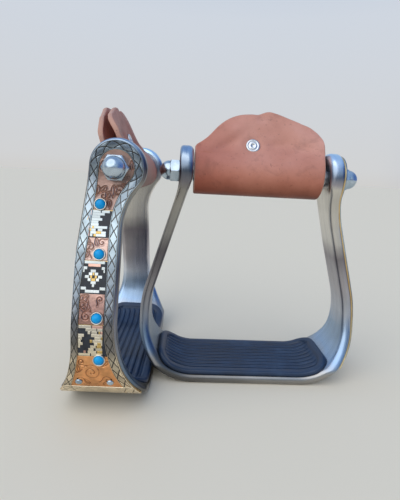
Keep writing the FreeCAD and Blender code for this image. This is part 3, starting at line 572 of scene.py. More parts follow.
def give_out(tree, given, geometry):
    """Ends a geometry node tree: plain mesh in the given material."""
    plain = node(tree, "GeometryNodeRealizeInstances", Geometry=geometry)
    painted = node(tree, "GeometryNodeSetMaterial", Geometry=plain, Material=given["Material"])
    tree.links.new(painted, tree.nodes.new("NodeGroupOutput").inputs["Geometry"])
    return tree


def grown(name, source, tree, **values):
    """What a geometry node tree makes of a source mesh with its inputs set, as a plain mesh."""
    carrier = in_scene(name, source)
    modifier = carrier.modifiers.new(name, "NODES")
    modifier.node_group = tree
    for item in tree.interface.items_tree:
        if item.in_out == "INPUT" and item.name in values:
            modifier[item.identifier] = values[item.name]
    mesh = shown_mesh(carrier)
    mesh.name = name
    bpy.data.objects.remove(carrier)
    return mesh


def rib_tree():
    """Tree that sweeps a rib with tapered ends along a path, several times side by side."""
    tree, given = new_tree("pad_ribs", Count="Int", First="Float", Pitch="Float", Width="Float",
                           Height="Float", Taper="Float", Material="Material")
    start, step = [node(tree, "ShaderNodeCombineXYZ", Y=given[name]) for name in ("First", "Pitch")]
    row = node(tree, "GeometryNodeMeshLine", Count=given["Count"], Start_Location=start, Offset=step)
    path = node(tree, "GeometryNodeMeshToCurve", Mesh=given["Geometry"])
    paths = node(tree, "GeometryNodeInstanceOnPoints", Points=row, Instance=path)
    paths = node(tree, "GeometryNodeRealizeInstances", Geometry=paths)
    upright = node(tree, "GeometryNodeSetCurveNormal", Curve=paths, mode="Z_UP")
    run = node(tree, "GeometryNodeSplineParameter", out="Length")
    left = sums(tree, "SUBTRACT", node(tree, "GeometryNodeSplineLength"), run)
    share = sums(tree, "DIVIDE", sums(tree, "MINIMUM", run, left), given["Taper"])
    swell = span(tree, share, 0.0, 1.0, 0.25, 1.0, "SMOOTHERSTEP")
    ring = node(tree, "GeometryNodeCurvePrimitiveCircle", Resolution=20, Radius=MM)
    stretch = node(tree, "ShaderNodeCombineXYZ", X=sums(tree, "MULTIPLY", given["Width"], 0.5 / MM),
                   Y=sums(tree, "MULTIPLY", given["Height"], 1.0 / MM))
    section = node(tree, "GeometryNodeTransform", Geometry=ring, Scale=stretch)
    ribs = node(tree, "GeometryNodeCurveToMesh", Curve=upright, Profile_Curve=section, Scale=swell,
                Fill_Caps=True)
    return give_out(tree, given, node(tree, "GeometryNodeSetShadeSmooth", Geometry=ribs))


def joined(name, pieces):
    """Several pieces made one."""
    with bpy.context.temp_override(active_object=pieces[0], selected_editable_objects=pieces):
        bpy.ops.object.join()
    pieces[0].name = name
    return pieces[0]


black_rubber, tree, place = new_material("moulded_black_rubber")
dust = noise(tree, place, 55.0, Detail=5.0, Roughness=0.6)
# Painted reflection: the black rubber is painted navy blue for the sky it mirrors; the noise between the
# stops is its dust.
DUST_AND_PAINTED_SKY_BLUE = ((0.32, 0.005, 0.017, 0.045), (0.58, 0.009, 0.031, 0.080), (0.80, 0.030, 0.066, 0.135))
coat(tree, ramp(tree, dust, *DUST_AND_PAINTED_SKY_BLUE), (dust, 0.36, 0.55),
     [(noise(tree, place, 1400.0, Detail=2.0), 0.25, 0.08)], Specular_IOR_Level=0.55)

rib_run = np.linspace(-RIB_REACH, RIB_REACH, 90)
rib_path = bpy.data.meshes.new("rib_path")
rib_path.from_pydata((on_tread(rib_run, 0, FIELD_LEVEL - RIB_SINK) * MM).tolist(),
                     [(number, number + 1) for number in range(len(rib_run) - 1)], [])
first_rib = (PAD_FRONT + PAD_REAR - RIB_PITCH * (RIB_COUNT - 1)) / 2
ribs = grown("ribs", rib_path, rib_tree(), Count=RIB_COUNT, First=first_rib * MM, Pitch=RIB_PITCH * MM,
             Width=RIB_WIDTH * MM, Height=RIB_HEIGHT * MM, Taper=RIB_TAPER * MM, Material=black_rubber)
pad_top, pad_under = pad_grids()
for side in SIDES:
    sheet = new_piece("sheet", shell("sheet", pad_top, pad_under, black_rubber), side)
    pad = joined(f"{side}_ribbed_pad", [sheet, new_piece("ribs", ribs.copy(), side)])
    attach(pad, f"{side}_stirrup")
    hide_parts(f"{side}_tread_pad")


# Screws under the sole, the stud through both eyes, its washers and the roller on it: turned
# and zinc plated steel, cloudy where the plating is thin.
def plated_metal(name, tone_low, tone_high, low, high):
    """Metal with a cloudy tone and fine tool marks."""
    material, tree, place = new_material(name)
    cloud = noise(tree, place, 90.0, Detail=4.0)
    coat(tree, ramp(tree, cloud, (0.32, *tone_low), (0.68, *tone_high)), (cloud, low, high),
         [(noise(tree, place, 1300.0, Detail=2.0), 0.10, 0.05)], Metallic=1.0)
    return material


def paint_node(name, material):
    """Gives a carried-over part its finish."""
    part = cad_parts[name]
    part.data.materials.clear()
    part.data.materials.append(material)


zinc_steel = plated_metal("zinc_plated_steel", (0.42, 0.43, 0.44), (0.60, 0.61, 0.63), 0.26, 0.38)
roller_steel = plated_metal("turned_roller_steel", (0.60, 0.60, 0.61), (0.76, 0.77, 0.79), 0.14, 0.26)
for side in SIDES:
    for part in ("pad_screws", "top_stud", "roller_washers"):
        paint_node(f"{side}_{part}", zinc_steel)
    paint_node(f"{side}_roller_tube", roller_steel)


# Cap nuts. Six flats with turned-off corners and a blind dome in one piece of steel, plated
# bright; one each side clamps the stud against the eyes.
NUT_FLAT = 7.5 * cos(pi / 6)
NUT_HEX_HEIGHT = 6.0
NUT_DOME, NUT_DOME_START, NUT_DOME_FOOT = 6.1, 6.5, 0.15
NUT_CHAMFER, NUT_BASE_SLOPE, NUT_TOP_SLOPE = 0.45, 1.4, 1.55
NUT_SEATS = ((-50.7, -1), (52.0, 1))
TURN_STEPS = 144
TIP = 1e-6
AS_MADE = (1, 1, 1)


def copies_tree():
    """Tree that sets a copy of a shape on every point, with its turn, size, random tilt and tone."""
    tree, given = new_tree("copies_on_points", Shape="Object", Material="Material", Tilt="Float", Seed="Int")
    shape = node(tree, "GeometryNodeObjectInfo", out="Geometry", Object=given["Shape"])
    turn, size = [node(tree, "GeometryNodeInputNamedAttribute", data_type="FLOAT_VECTOR", Name=name)
                  for name in ("turn", "size")]
    low, high = [node(tree, "ShaderNodeCombineXYZ", X=way, Y=way)
                 for way in (sums(tree, "MULTIPLY", given["Tilt"], -1.0), given["Tilt"])]
    tilt = node(tree, "FunctionNodeRandomValue", data_type="FLOAT_VECTOR", Min=low, Max=high,
                Seed=given["Seed"])
    turned = node(tree, "FunctionNodeRotateRotation", Rotation=turn, Rotate_By=tilt, rotation_space="LOCAL")
    set_out = node(tree, "GeometryNodeInstanceOnPoints", Points=given["Geometry"], Instance=shape,
                   Rotation=turned, Scale=size)
    tone = node(tree, "FunctionNodeRandomValue", out=1, Seed=given["Seed"], data_type="FLOAT")
    toned = node(tree, "GeometryNodeStoreNamedAttribute", Geometry=set_out, Value=tone, Name="tone",
                 data_type="FLOAT", domain="INSTANCE")
    return give_out(tree, given, toned)


place_copies = copies_tree()


def copies(name, shape, spots, material, tilt=0.0, seed=0):
    """One mesh of a shape's copies on spots, each (place in mm, turn, size)."""
    points = bpy.data.meshes.new("spots")
    points.from_pydata([tuple(MM * value for value in spot[0]) for spot in spots], [], [])
    for number, label in ((1, "turn"), (2, "size")):
        layer = points.attributes.new(label, "FLOAT_VECTOR", "POINT")
        layer.data.foreach_set("vector", np.array([spot[number] for spot in spots], np.float32).ravel())
    model = new_piece("model", shape)
    mesh = grown(name, points, place_copies, Shape=model, Material=material, Tilt=tilt, Seed=seed)
    bpy.data.objects.remove(model)
    return mesh


def lathe(profile, material, sharp=30):
    """Turned mesh standing on Z: profile is (height, radius or radius by angle) from base to tip."""
    angle = np.linspace(0, 2 * pi, TURN_STEPS, endpoint=False)
    points = np.stack([stacked(radius * np.cos(angle), radius * np.sin(angle), height)
                       for height, radius in profile])
    quads, _ = grid_faces(len(profile), TURN_STEPS, around=True)
    return new_mesh("turned", points, quads, material, sharp=sharp)


def nut_profile():
    """Hexagon with turned-off corners, a short neck and a low dome."""
    angle = np.linspace(0, 2 * pi, TURN_STEPS, endpoint=False)
    flat = NUT_FLAT / np.cos((angle + pi / 6) % (pi / 3) - pi / 6)
    base, neck = NUT_FLAT + NUT_CHAMFER, NUT_DOME + NUT_DOME_FOOT
    foot = [(0.0, 0.0), (0.0, NUT_FLAT - 0.5), (0.0, np.minimum(flat, base))]
    foot += [(height, np.minimum(flat, base + height * NUT_BASE_SLOPE)) for height in (0.12, 0.3, 0.5)]
    hexagon = [(height, np.minimum(flat, neck + (NUT_HEX_HEIGHT - height) * NUT_TOP_SLOPE))
               for height in np.linspace(1.0, NUT_HEX_HEIGHT, 22)]
    dome = [(NUT_DOME_START + NUT_DOME * sin(turn), NUT_DOME * cos(turn) + TIP)
            for turn in np.linspace(0, pi / 2, 26)]
    return foot + hexagon + [(NUT_HEX_HEIGHT + 0.05, NUT_DOME + 0.02)] + dome


bright_steel, tree, place = new_material("bright_plated_steel")
haze = noise(tree, place, 120.0, Detail=4.0)
coat(tree, ramp(tree, haze, (0.35, 0.34, 0.43, 0.51), (0.65, 0.58, 0.67, 0.75)), (haze, 0.16, 0.30),
     [(noise(tree, place, 900.0, Detail=3.0), 0.06, 0.05)], Metallic=1.0)

nut_spots = [((seat, EYE_OFFSET, BOLT_HEIGHT), (0, way * pi / 2, 0), AS_MADE) for seat, way in NUT_SEATS]
for side in SIDES:
    nuts = copies(f"{side}_cap_nuts", lathe(nut_profile(), bright_steel), nut_spots, bright_steel)
    piece = new_piece(f"{side}_cap_nuts", nuts, side)
    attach(piece, f"{side}_stirrup")
    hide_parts(f"{side}_inboard_cap_nut", f"{side}_outboard_cap_nut")


# Leather cover. A strip of 3 mm saddle leather folded round the roller, its two ends standing
# up as flaps that a two-part screw pulls together; cut edges are pale, the grain side shows wear.
# Shade is painted into it: darker towards the bottom of the loop and towards -X.
LEATHER = 3.0
COVER_LEAN = radians(20)
POST = (-4.7, 17.7)
COVER_HALF_WIDTH = 41.7
LOOP_RADIUS, LOOP_DROP, LOOP_NECK = 9.6, 3.2, 2.4
FLAP_GAP = 0.3
FLAP_HOLLOW, FLAP_MOUTH = 2.6, 0.7
TAPER = 3.0
TAPER_TOP, TAPER_FOOT = 14.0, -14.0
SMOOTHINGS = 60
STRIP_STEPS = 270
CUT_ROUND, CUT_THINS = 1.1, 0.8
PUFF, RIPPLE = 1.6, 0.42
PINCH, HEAD_REACH, PINCH_WIDTH = 0.55, 4.6, 2.2
FRONT_FLAP = ((-42, 13.6), (-40.5, 15.6), (-37.5, 17.8), (-33.7, 21.0), (-26.5, 29.0), (-19.9, 34.2),
              (-13.6, 37.0), (-6.0, 37.9), (1.0, 37.2), (4.9, 38.0), (10.7, 37.6), (17.8, 35.9), (26.7, 32.9),
              (34.4, 29.6), (38.9, 25.6), (41.2, 21.5), (42, 18.0))
REAR_FLAP = ((-42, 13.2), (-40.5, 15.2), (-33.7, 20.6), (-26.5, 28.2), (-19.9, 33.4), (-13.6, 36.2),
             (-6.0, 37.8), (1.0, 38.9), (7.0, 39.4), (12.0, 38.8), (17.8, 36.4), (26.7, 32.8), (34.4, 29.4),
             (38.6, 25.4), (41.2, 21.0), (42, 17.5))
FLAP_LIFT = ((-42, 0.8), (-38, 1.2), (-33.7, 1.4), (-26.5, 1.6), (-13.6, 1.3), (-6.0, 1.4), (-2.0, 1.9),
             (1.0, 3.1), (5.3, 3.4), (10.7, 2.8), (17.8, 2.0), (26.7, 1.8), (34.4, 1.6), (38.9, 0.8),
             (42, -0.4))
DENTS = ((0.55, -14, 30, 16, 5, 0.5), (-0.75, -19, 18.5, 9, 3.4, 0.55), (0.6, -31, 15, 7, 4, 0.7),
         (-0.7, 10, 19, 13, 3.4, 0.12), (0.65, 24, 27, 12, 5, -0.35), (-0.45, 27, 17, 8, 3.5, 0.1),
         (0.5, 2, 31, 9, 5, 0.0), (-0.5, 0.6, 37.5, 3.0, 3.5, 0.0))


def through(x, knots):
    """Smooth curve through (place, value) knots."""
    places, values = np.array(knots, float).T
    slopes = np.gradient(values, places)
    index = np.clip(np.searchsorted(places, x) - 1, 0, len(places) - 2)
    span = places[index + 1] - places[index]
    t = np.clip((x - places[index]) / span, 0, 1)
    return ((2 * t ** 3 - 3 * t ** 2 + 1) * values[index] + (t ** 3 - 2 * t ** 2 + t) * span * slopes[index]
            + (3 * t ** 2 - 2 * t ** 3) * values[index + 1] + (t ** 3 - t ** 2) * span * slopes[index + 1])


def flap_line(top, sign, away):
    """Middle of one flap from the loop up: it bulges beside the screw and opens at the top."""
    foot = LOOP_RADIUS + LOOP_NECK
    height = foot + (top - foot) * np.linspace(0, 1, 60)
    hollow = FLAP_HOLLOW * away ** 2 * (1 - smooth_step(height, 18, 31))
    mouth = FLAP_MOUTH * smooth_step(height, 26, 40)
    neck = np.exp(-((height - foot) / 4.0) ** 2)
    return stacked(sign * (FLAP_GAP + LEATHER / 2 + hollow + mouth + neck), height)


def cover_line(x, lift):
    """Middle of the leather at a place along the bar: (depth, height), front flap first, its flaps
    a share, lift, of FLAP_LIFT higher."""
    away = (x - POST[0]) / (COVER_HALF_WIDTH - POST[0])
    turns = np.radians(np.linspace(150, 390, 90))
    low = LOOP_DROP * smooth_step(-np.sin(turns), -0.05, 0.45)
    more = lift * through(x, FLAP_LIFT)
    path = np.concatenate([flap_line(through(x, FRONT_FLAP) + more, -1, away)[::-1],
                           stacked(LOOP_RADIUS * np.cos(turns), LOOP_RADIUS * np.sin(turns) - low),
                           flap_line(through(x, REAR_FLAP) + more * 0.5, 1, away)])
    for _ in range(SMOOTHINGS):
        path[1:-1] = path[1:-1] * 0.5 + (path[:-2] + path[2:]) * 0.25
    return path


def resample(path, count):
    """The same line in equal steps, and its length."""
    run = run_along(path)
    even = np.linspace(0, run[-1], count)
    return stacked(np.interp(even, run, path[:, 0]), np.interp(even, run, path[:, 1])), run[-1]


def leaned(x, depth, height):
    """A place of the cover made upright, in the right stirrup's frame."""
    return stacked(x, depth * cos(COVER_LEAN) + height * sin(COVER_LEAN) + EYE_OFFSET,
                   -depth * sin(COVER_LEAN) + height * cos(COVER_LEAN) + BOLT_HEIGHT)


def dent(x, height, depth, dent_x, dent_height, long, wide, turn):
    """Soft oval swell or dent in the leather, a depth at its middle."""
    dx, dz = x - dent_x, height - dent_height
    along, across = dx * cos(turn) + dz * sin(turn), dz * cos(turn) - dx * sin(turn)
    return depth * np.exp(-(along / long) ** 2 - (across / wide) ** 2)


def cover_grids(lift):
    """Grain side and flesh side of the leather, how near each point is to a cut edge, and its UV."""
    fine = np.array([0, 0.06, 0.2, 0.45, 0.8, 1.2]) - COVER_HALF_WIDTH
    x = np.concatenate([fine, np.linspace(-40.0, 40.0, 170), -fine[::-1]])
    lines, lengths = zip(*[resample(cover_line(place, lift), STRIP_STEPS) for place in x])
    middle, lengths = np.stack(lines), np.array(lengths)[:, None]
    run = np.linspace(0, 1, STRIP_STEPS)[None, :] * lengths
    near_top = np.minimum(run, lengths - run)
    near_end = (COVER_HALF_WIDTH - np.abs(x))[:, None]
    tangent = np.gradient(middle, axis=1)
    tangent /= np.linalg.norm(tangent, axis=2, keepdims=True)
    outward = stacked(tangent[..., 1], -tangent[..., 0])
    x, height = x[:, None] + 0 * run, middle[..., 1]
    taper = TAPER * np.clip((TAPER_TOP - height) / (TAPER_TOP - TAPER_FOOT), 0, 1) * smooth_step(x, 5, 41)
    half = LEATHER / 2 - CUT_THINS * (rounded(near_top, CUT_ROUND) + rounded(near_end, CUT_ROUND))
    around_post = np.hypot(x - POST[0], height - POST[1])
    free = smooth_step(around_post, 5.0, 15)
    swell = sum(dent(x, height, *given) for given in DENTS)
    puff = np.where(height > 10, PUFF * swell * free, 0) * np.where(middle[..., 0] < 0, 1.0, 0.7)
    puff += RIPPLE * np.sin(x / 9.0 + height / 7.0) * smooth_step(height, 9, 16) * free
    pinch = PINCH * np.exp(-(np.clip(around_post - HEAD_REACH, 0, None) / PINCH_WIDTH) ** 2)
    grids = [middle + outward * offset[..., None] for offset in (half + puff - pinch, puff - half)]
    edge = 1 - smooth_step(np.minimum(near_top, near_end), 0.25, 0.9)
    return [leaned(x - taper, flat[..., 0], flat[..., 1]) for flat in grids], edge, stacked(x, run) * MM


# Painted shade: the leather darkens towards the bottom of the loop, which faces down.
LOW_PAINTED_SHADE = ((126, 0.40, 0.25, 0.18), (132, 0.56, 0.37, 0.27), (139, 0.78, 0.60, 0.49), (150, 0.92, 0.84, 0.80),
         (162, 1.0))
saddle_leather, tree, place = new_material("worn_saddle_leather")
on_strip = node(tree, "ShaderNodeUVMap", uv_map="along_and_across")
cut_mark = mark(tree, "paint")
mottle = noise(tree, place, 34.0, Detail=5.0, Roughness=0.55)
speck = noise(tree, place, 420.0, Detail=4.0, Roughness=0.7)
stain = noise(tree, place, 75.0, Detail=4.0, Roughness=0.65, Distortion=0.6)
pore = node(tree, "ShaderNodeTexVoronoi", Vector=place, Scale=1500.0)
scuffs = noise(tree, node(tree, "ShaderNodeMapping", Vector=on_strip, Scale=(420, 90, 1)), 1.0, Detail=2.0)
crease = noise(tree, place, 130.0, Detail=5.0, Roughness=0.6, Distortion=1.2)
colour_and_painted_light = ramp(tree, mottle, (0.28, 0.47, 0.205, 0.150), (0.50, 0.565, 0.265, 0.205), (0.72, 0.64, 0.325, 0.265))
colour_and_painted_light = dulled(tree, colour_and_painted_light, speck, 0.30, 0.40, 0.55, 0.6)
colour_and_painted_light = dulled(tree, colour_and_painted_light, stain, 0.28, 0.46, 0.72, 0.8)
colour_and_painted_light = dulled(tree, colour_and_painted_light, scuffs, 0.24, 0.30, 0.35, 0.7)
# Painted shade: darker towards the bottom of the loop.
colour_and_painted_light = mixed(tree, colour_and_painted_light, by_height(tree, place, LOW_PAINTED_SHADE, waver=3.0))
# Painted shade: darker towards -X, beside the arm; the left cover gets the darkest tone all over.
painted_shade_left = span(tree, axis(tree, place, "X"), -0.044, -0.006)
colour_and_painted_light = mixed(tree, colour_and_painted_light, ramp(tree, painted_shade_left, (0.0, 0.82, 0.60, 0.54), (1.0, 1.0)))
coat(tree, mixed(tree, colour_and_painted_light, (0.50, 0.27, 0.20), cut_mark, "MIX"), (mottle, 0.44, 0.60),
     ((pore, 0.16, 0.15), (crease, 0.30, 0.5)), Specular_IOR_Level=0.38, Sheen_Weight=0.05,
     Sheen_Roughness=0.5)

for side, lift in (("right", 1.0), ("left", 0.0)):
    grids, cut_edge, leather_uv = cover_grids(lift)
    mesh = shell(f"{side}_folded_leather", *grids, saddle_leather, uv=leather_uv, paint=(cut_edge, cut_edge))
    cover = new_piece(f"{side}_folded_leather", mesh, side)
    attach(cover, f"{side}_cover")
    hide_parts(f"{side}_leather_cover")


# Two-part screw of the cover. Flat round heads of plated steel, dulled by handling, with a
# turned ring and a small dimple, one on each flap.
HEAD_DEPTH = 2.9
HEAD_PROFILE = ((-2.0, 0.0), (-2.0, 2.4), (0.0, 2.4), (0.0, 4.3), (0.15, 4.55), (0.5, 4.6), (0.95, 4.5),
                (1.25, 4.15), (1.4, 3.7), (1.42, 3.4), (1.25, 3.15), (1.15, 2.95), (1.22, 2.7), (1.40, 2.4),
                (1.55, 2.0), (1.58, 1.6), (1.45, 1.25), (1.15, 0.95), (0.95, 0.6), (0.88, 0.3), (0.86, 0.0))


def stood(place, depth):
    """Spot on a surface, for a copy that stands off it: place gives the point at a depth."""
    base, above = place(depth), place(depth + (1 if depth > 0 else -1))
    return tuple(base), tuple(Vector(above - base).to_track_quat("Z", "Y").to_euler()), AS_MADE


rivet_steel = plated_metal("dulled_rivet_steel", (0.50, 0.51, 0.53), (0.74, 0.75, 0.77), 0.20, 0.36)
head_spots = [stood(lambda depth: leaned(POST[0], depth, POST[1]), at) for at in (HEAD_DEPTH, -HEAD_DEPTH)]
for side in SIDES:
    head = lathe(HEAD_PROFILE, rivet_steel, sharp=50)
    mesh = copies(f"{side}_cover_screw_heads", head, head_spots, rivet_steel)
    heads = new_piece(f"{side}_cover_screw_heads", mesh, side)
    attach(heads, f"{side}_cover")
    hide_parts(f"{side}_cover_post", f"{side}_cover_screw")


# Backplate of the trim: a brass sheet bent to the outboard arm; only its edge shows, as a
# thin golden line between the casting and the silver border.
satin_brass = plated_metal("satin_brass_sheet", (0.60, 0.40, 0.17), (0.80, 0.60, 0.31), 0.28, 0.40)
for side in SIDES:
    paint_node(f"{side}_trim_backplate", satin_brass)


# Border. A nickel-silver plate round the whole arm and eye. Two strokes cross every pitch and
# leave a row of bright-cut diamonds and side wedges, each with a tilt of its own; cuts are dark.
BACKPLATE = 0.8
BORDER_FOOT = 19.4
TRIM_INSETS = (1.3, 0.6)
BORDER_WIDTH, BORDER_REAR_WIDTH = 4.9, 3.8
CROSS_PITCH = 7.7
CUT_HALF_WIDTH = 0.19
CUT_FLOOR = 0.42
DIAMOND_RISE = 0.26
FACET_TILT, FACET_CROWN, FACET_SINK = 0.035, 0.05, 0.2
EDGE_BAND = 0.09
PATH_STEPS = (330, 70, 190, 400)
NECK_FOOT = 100.0
STRIP_HALF = ((0, 0.45, 0), (0.012, 0.62, 0), (0.03, 0.70, 0), (0.06, 0.72, 0),
              (EDGE_BAND - 0.012, 0.70, 0.3), (EDGE_BAND, CUT_FLOOR, 1), (0.3, CUT_FLOOR, 1))
FOOT_CORNER = radians(41)
FOOT_LEVEL, FOOT_CUT = 0.74, 0.28
FOOT_LINE, FOOT_LINE_WIDTH = 0.7, 0.12
CROSSES, CROSS_HEIGHT, CROSS_SLOPE, CROSS_WIDTH = (2.6, 7.5), 3.2, 0.8, 0.17
SLOPE_LENGTH = hypot(arm_run - BEND_REACH * LEAN_X, arm_rise - BEND_REACH * LEAN_Z)
ZONE_ENDS = np.cumsum([CORNER_RADIUS * pi / 2, SHOULDER[1] - CORNER[1], SHOULDER_RADIUS * BAND_LEAN,
                       SLOPE_LENGTH, NECK_RADIUS * BAND_LEAN])


def face_point(run, y, depth):
    """Point of the outboard face: distance up it from the sole's end, depth, height above it."""
    run, depth = np.asarray(run, float), np.asarray(depth, float)
    corner_at = (run - ZONE_ENDS[0]) / CORNER_RADIUS
    shoulder_at = (run - ZONE_ENDS[1]) / SHOULDER_RADIUS
    slope = run - ZONE_ENDS[2]
    neck_at = pi + BAND_LEAN - (run - ZONE_ENDS[3]) / NECK_RADIUS
    corner, shoulder, neck = CORNER_RADIUS + depth, SHOULDER_RADIUS + depth, NECK_RADIUS - depth
    x = (CORNER[0] + corner * np.cos(corner_at), HALF_WIDTH + depth,
         SHOULDER[0] + shoulder * np.cos(shoulder_at), SHOULDER[0] + shoulder * LEAN_X - slope * LEAN_Z,
         NECK[0] + neck * np.cos(neck_at))
    z = (CORNER[1] + corner * np.sin(corner_at), CORNER[1] + run - ZONE_ENDS[0],
         SHOULDER[1] + shoulder * np.sin(shoulder_at), SHOULDER[1] + shoulder * LEAN_Z + slope * LEAN_X,
         NECK[1] + neck * np.sin(neck_at))
    zones = [run < end for end in ZONE_ENDS]
    return stacked(np.select(zones, x, NECK_HALF_WIDTH + depth), y,
                   np.select(zones, z, NECK[1] + run - ZONE_ENDS[4]))


run_table = np.linspace(0, ZONE_ENDS[-1] + 20, 3000)
height_table = face_point(run_table, 0, 0)[:, 2]


def run_at(height):
    """Distance up the outboard face at a height."""
    return np.interp(height, height_table, run_table)


def across_arm(rise, insets):
    """Height, and a sheet's front and rear edge as columns, at distances up the face."""
    level = np.interp(rise, run_table, height_table)
    return level, front_edge(level, insets[0])[:, None], rear_edge(level, *insets)[:, None]


def side_path(inset, rear_inset):
    """The arm's outline from the side, front foot first, round the eye, down the rear: (y, z)."""
    eye = EYE_RADIUS - inset
    stops = (BORDER_FOOT, NECK_FOOT, BOLT_HEIGHT - eye * sin(FRONT_LEAN))
    front = np.concatenate([np.linspace(*ends, steps, endpoint=False)
                            for ends, steps in zip((stops[:2], stops[1:]), PATH_STEPS)])
    angle = np.linspace(-FRONT_LEAN, pi - REAR_LEAN, PATH_STEPS[2], endpoint=False)
    rear = np.linspace(BOLT_HEIGHT + eye * sin(REAR_LEAN), BORDER_FOOT, PATH_STEPS[3])
    return np.concatenate([
        stacked(front_edge(front, inset), front),
        stacked(EYE_OFFSET - eye * np.cos(angle), BOLT_HEIGHT + eye * np.sin(angle)),
        stacked(rear_edge(rear, inset, rear_inset), rear)])


# Painted reflection: the border's tone by height stands in for what it mirrors: beige low down, dark above,
# pale blue-grey at the middle panels, slate near the eye.
SILVER_REFLECTION_TONES = ((12, 0.96, 0.82, 0.60), (38, 0.94, 0.79, 0.57), (46, 0.42, 0.38, 0.33),
                (58, 0.24, 0.25, 0.27), (74, 0.27, 0.31, 0.36), (88, 0.34, 0.40, 0.45),
                (98, 0.52, 0.62, 0.68), (115, 0.50, 0.60, 0.66), (124, 0.38, 0.45, 0.51),
                (150, 0.36, 0.43, 0.49))
nickel_silver, tree, place = new_material("engraved_nickel_silver")
cut_mark, own_tone = mark(tree, "paint"), mark(tree, "tone")
haze = noise(tree, place, 130.0, Detail=4.0)
# Nickel silver: painted reflection by height, dulled by random haze and by each facet's own random tone.
silver = dulled(tree, by_height(tree, place, SILVER_REFLECTION_TONES, waver=4.0), haze, 0.36, 0.60, 0.70)
silver = mixed(tree, silver, ramp(tree, own_tone, (0.0, 1.0), (1.0, 0.55, 0.57, 0.60)))
coat(tree, mixed(tree, silver, (0.075, 0.072, 0.068), cut_mark, "MIX"), (haze, 0.14, 0.28),
     [(noise(tree, place, 1100.0, Detail=3.0), 0.12, 0.05)], Metallic=1.0)


def facet_mesh(*corners):
    """Raised facet between three or four corners (along, across), its sides sloping to the cuts."""
    corners = np.array(corners, float)
    sides = np.roll(corners, -1, axis=0) - corners
    middle = corners.mean(0)
    away = middle - corners
    across = np.abs(sides[:, 0] * away[:, 1] - sides[:, 1] * away[:, 0]) / np.linalg.norm(sides, axis=1)
    inner = middle + (corners - middle) * (1 - CUT_HALF_WIDTH / across.min())
    first, second, third, last = inner[[0, 1, 2, -1]]
    u, v = np.meshgrid(np.linspace(0, 1, 7), np.linspace(0, 1, 7), indexing="ij")
    u, v = u[..., None], v[..., None]
    flat = (1 - u) * ((1 - v) * first + v * second) + u * ((1 - v) * last + v * third)
    near = np.minimum(np.minimum(u, 1 - u), np.minimum(v, 1 - v))
    top = np.concatenate([flat, FACET_CROWN * smooth_step(near, 0, 0.34)], -1)
    foot = middle + (flat - middle) * (1 + CUT_HALF_WIDTH / 4)
    under = np.concatenate([foot, 0 * near - DIAMOND_RISE - FACET_SINK], -1)
    return shell("facet", top, under, nickel_silver, sharp=25)


def border_facets(total):
    """Diamonds, side wedges and end pieces of the border, lying flat: X along it, Y across it."""
    count = round(total / CROSS_PITCH)
    pitch, middle = total / count, BORDER_WIDTH / 2
    low, high = EDGE_BAND * BORDER_WIDTH, (1 - EDGE_BAND) * BORDER_WIDTH
    half_a, half_b = pitch / 2, (high - low) / 2
    diamond = facet_mesh((-half_a, 0), (0, -half_b), (half_a, 0), (0, half_b))
    diamonds = [(pitch * k, middle, 0) for k in range(1, count)]
    wedge = facet_mesh((-half_a, 0), (half_a, 0), (0, half_b))
    wedges = [(pitch * (k + 0.5), y, turn) for k in range(count) for y, turn in ((low, 0), (high, pi))]
    end = facet_mesh((0, -half_b), (half_a, 0), (0, half_b))
    ends = [(0, middle, 0), (total, middle, pi)]
    return [copies("facets", mesh, [((x, y, 0), (0, 0, turn), AS_MADE) for x, y, turn in spots],
                   nickel_silver, FACET_TILT, seed)
            for seed, (mesh, spots) in enumerate(((diamond, diamonds), (wedge, wedges), (end, ends)))]


def wrap_border(mesh, outer, inner, along):
    """Bends a flat mesh round the arm: X follows the border, Y goes across it, Z stands off it."""
    flat = np.empty(len(mesh.vertices) * 3, np.float32)
    mesh.vertices.foreach_get("co", flat)
    x, y, z = (flat.reshape(-1, 3) / MM).T
    x = np.clip(x, 0, along[-1])
    start, end = [stacked(*[np.interp(x, along, values) for values in path.T]) for path in (outer, inner)]
    spot = start + (end - start) * (y / BORDER_WIDTH)[:, None]
    points = face_point(run_at(spot[:, 1]), spot[:, 0], BACKPLATE + CUT_FLOOR + DIAMOND_RISE + z)
    mesh.vertices.foreach_set("co", (points * MM).astype(np.float32).ravel())
    mesh.update()


def border_strip(outer, inner):
    """The border's plate itself: rims at both sides, and the floor of the cuts between them."""
    mirrored = [(1 - share, level, dark) for share, level, dark in STRIP_HALF[::-1]]
    share, level, dark = np.array([*STRIP_HALF, (0.5, CUT_FLOOR, 1), *mirrored]).T
    spot = outer[:, None] + (inner - outer)[:, None] * share[None, :, None]
    top, under = [face_point(run_at(spot[..., 1]), spot[..., 0], BACKPLATE + rise) for rise in (level, 0)]
    return shell("strip", top, under, nickel_silver, paint=(dark, 0), sharp=35)


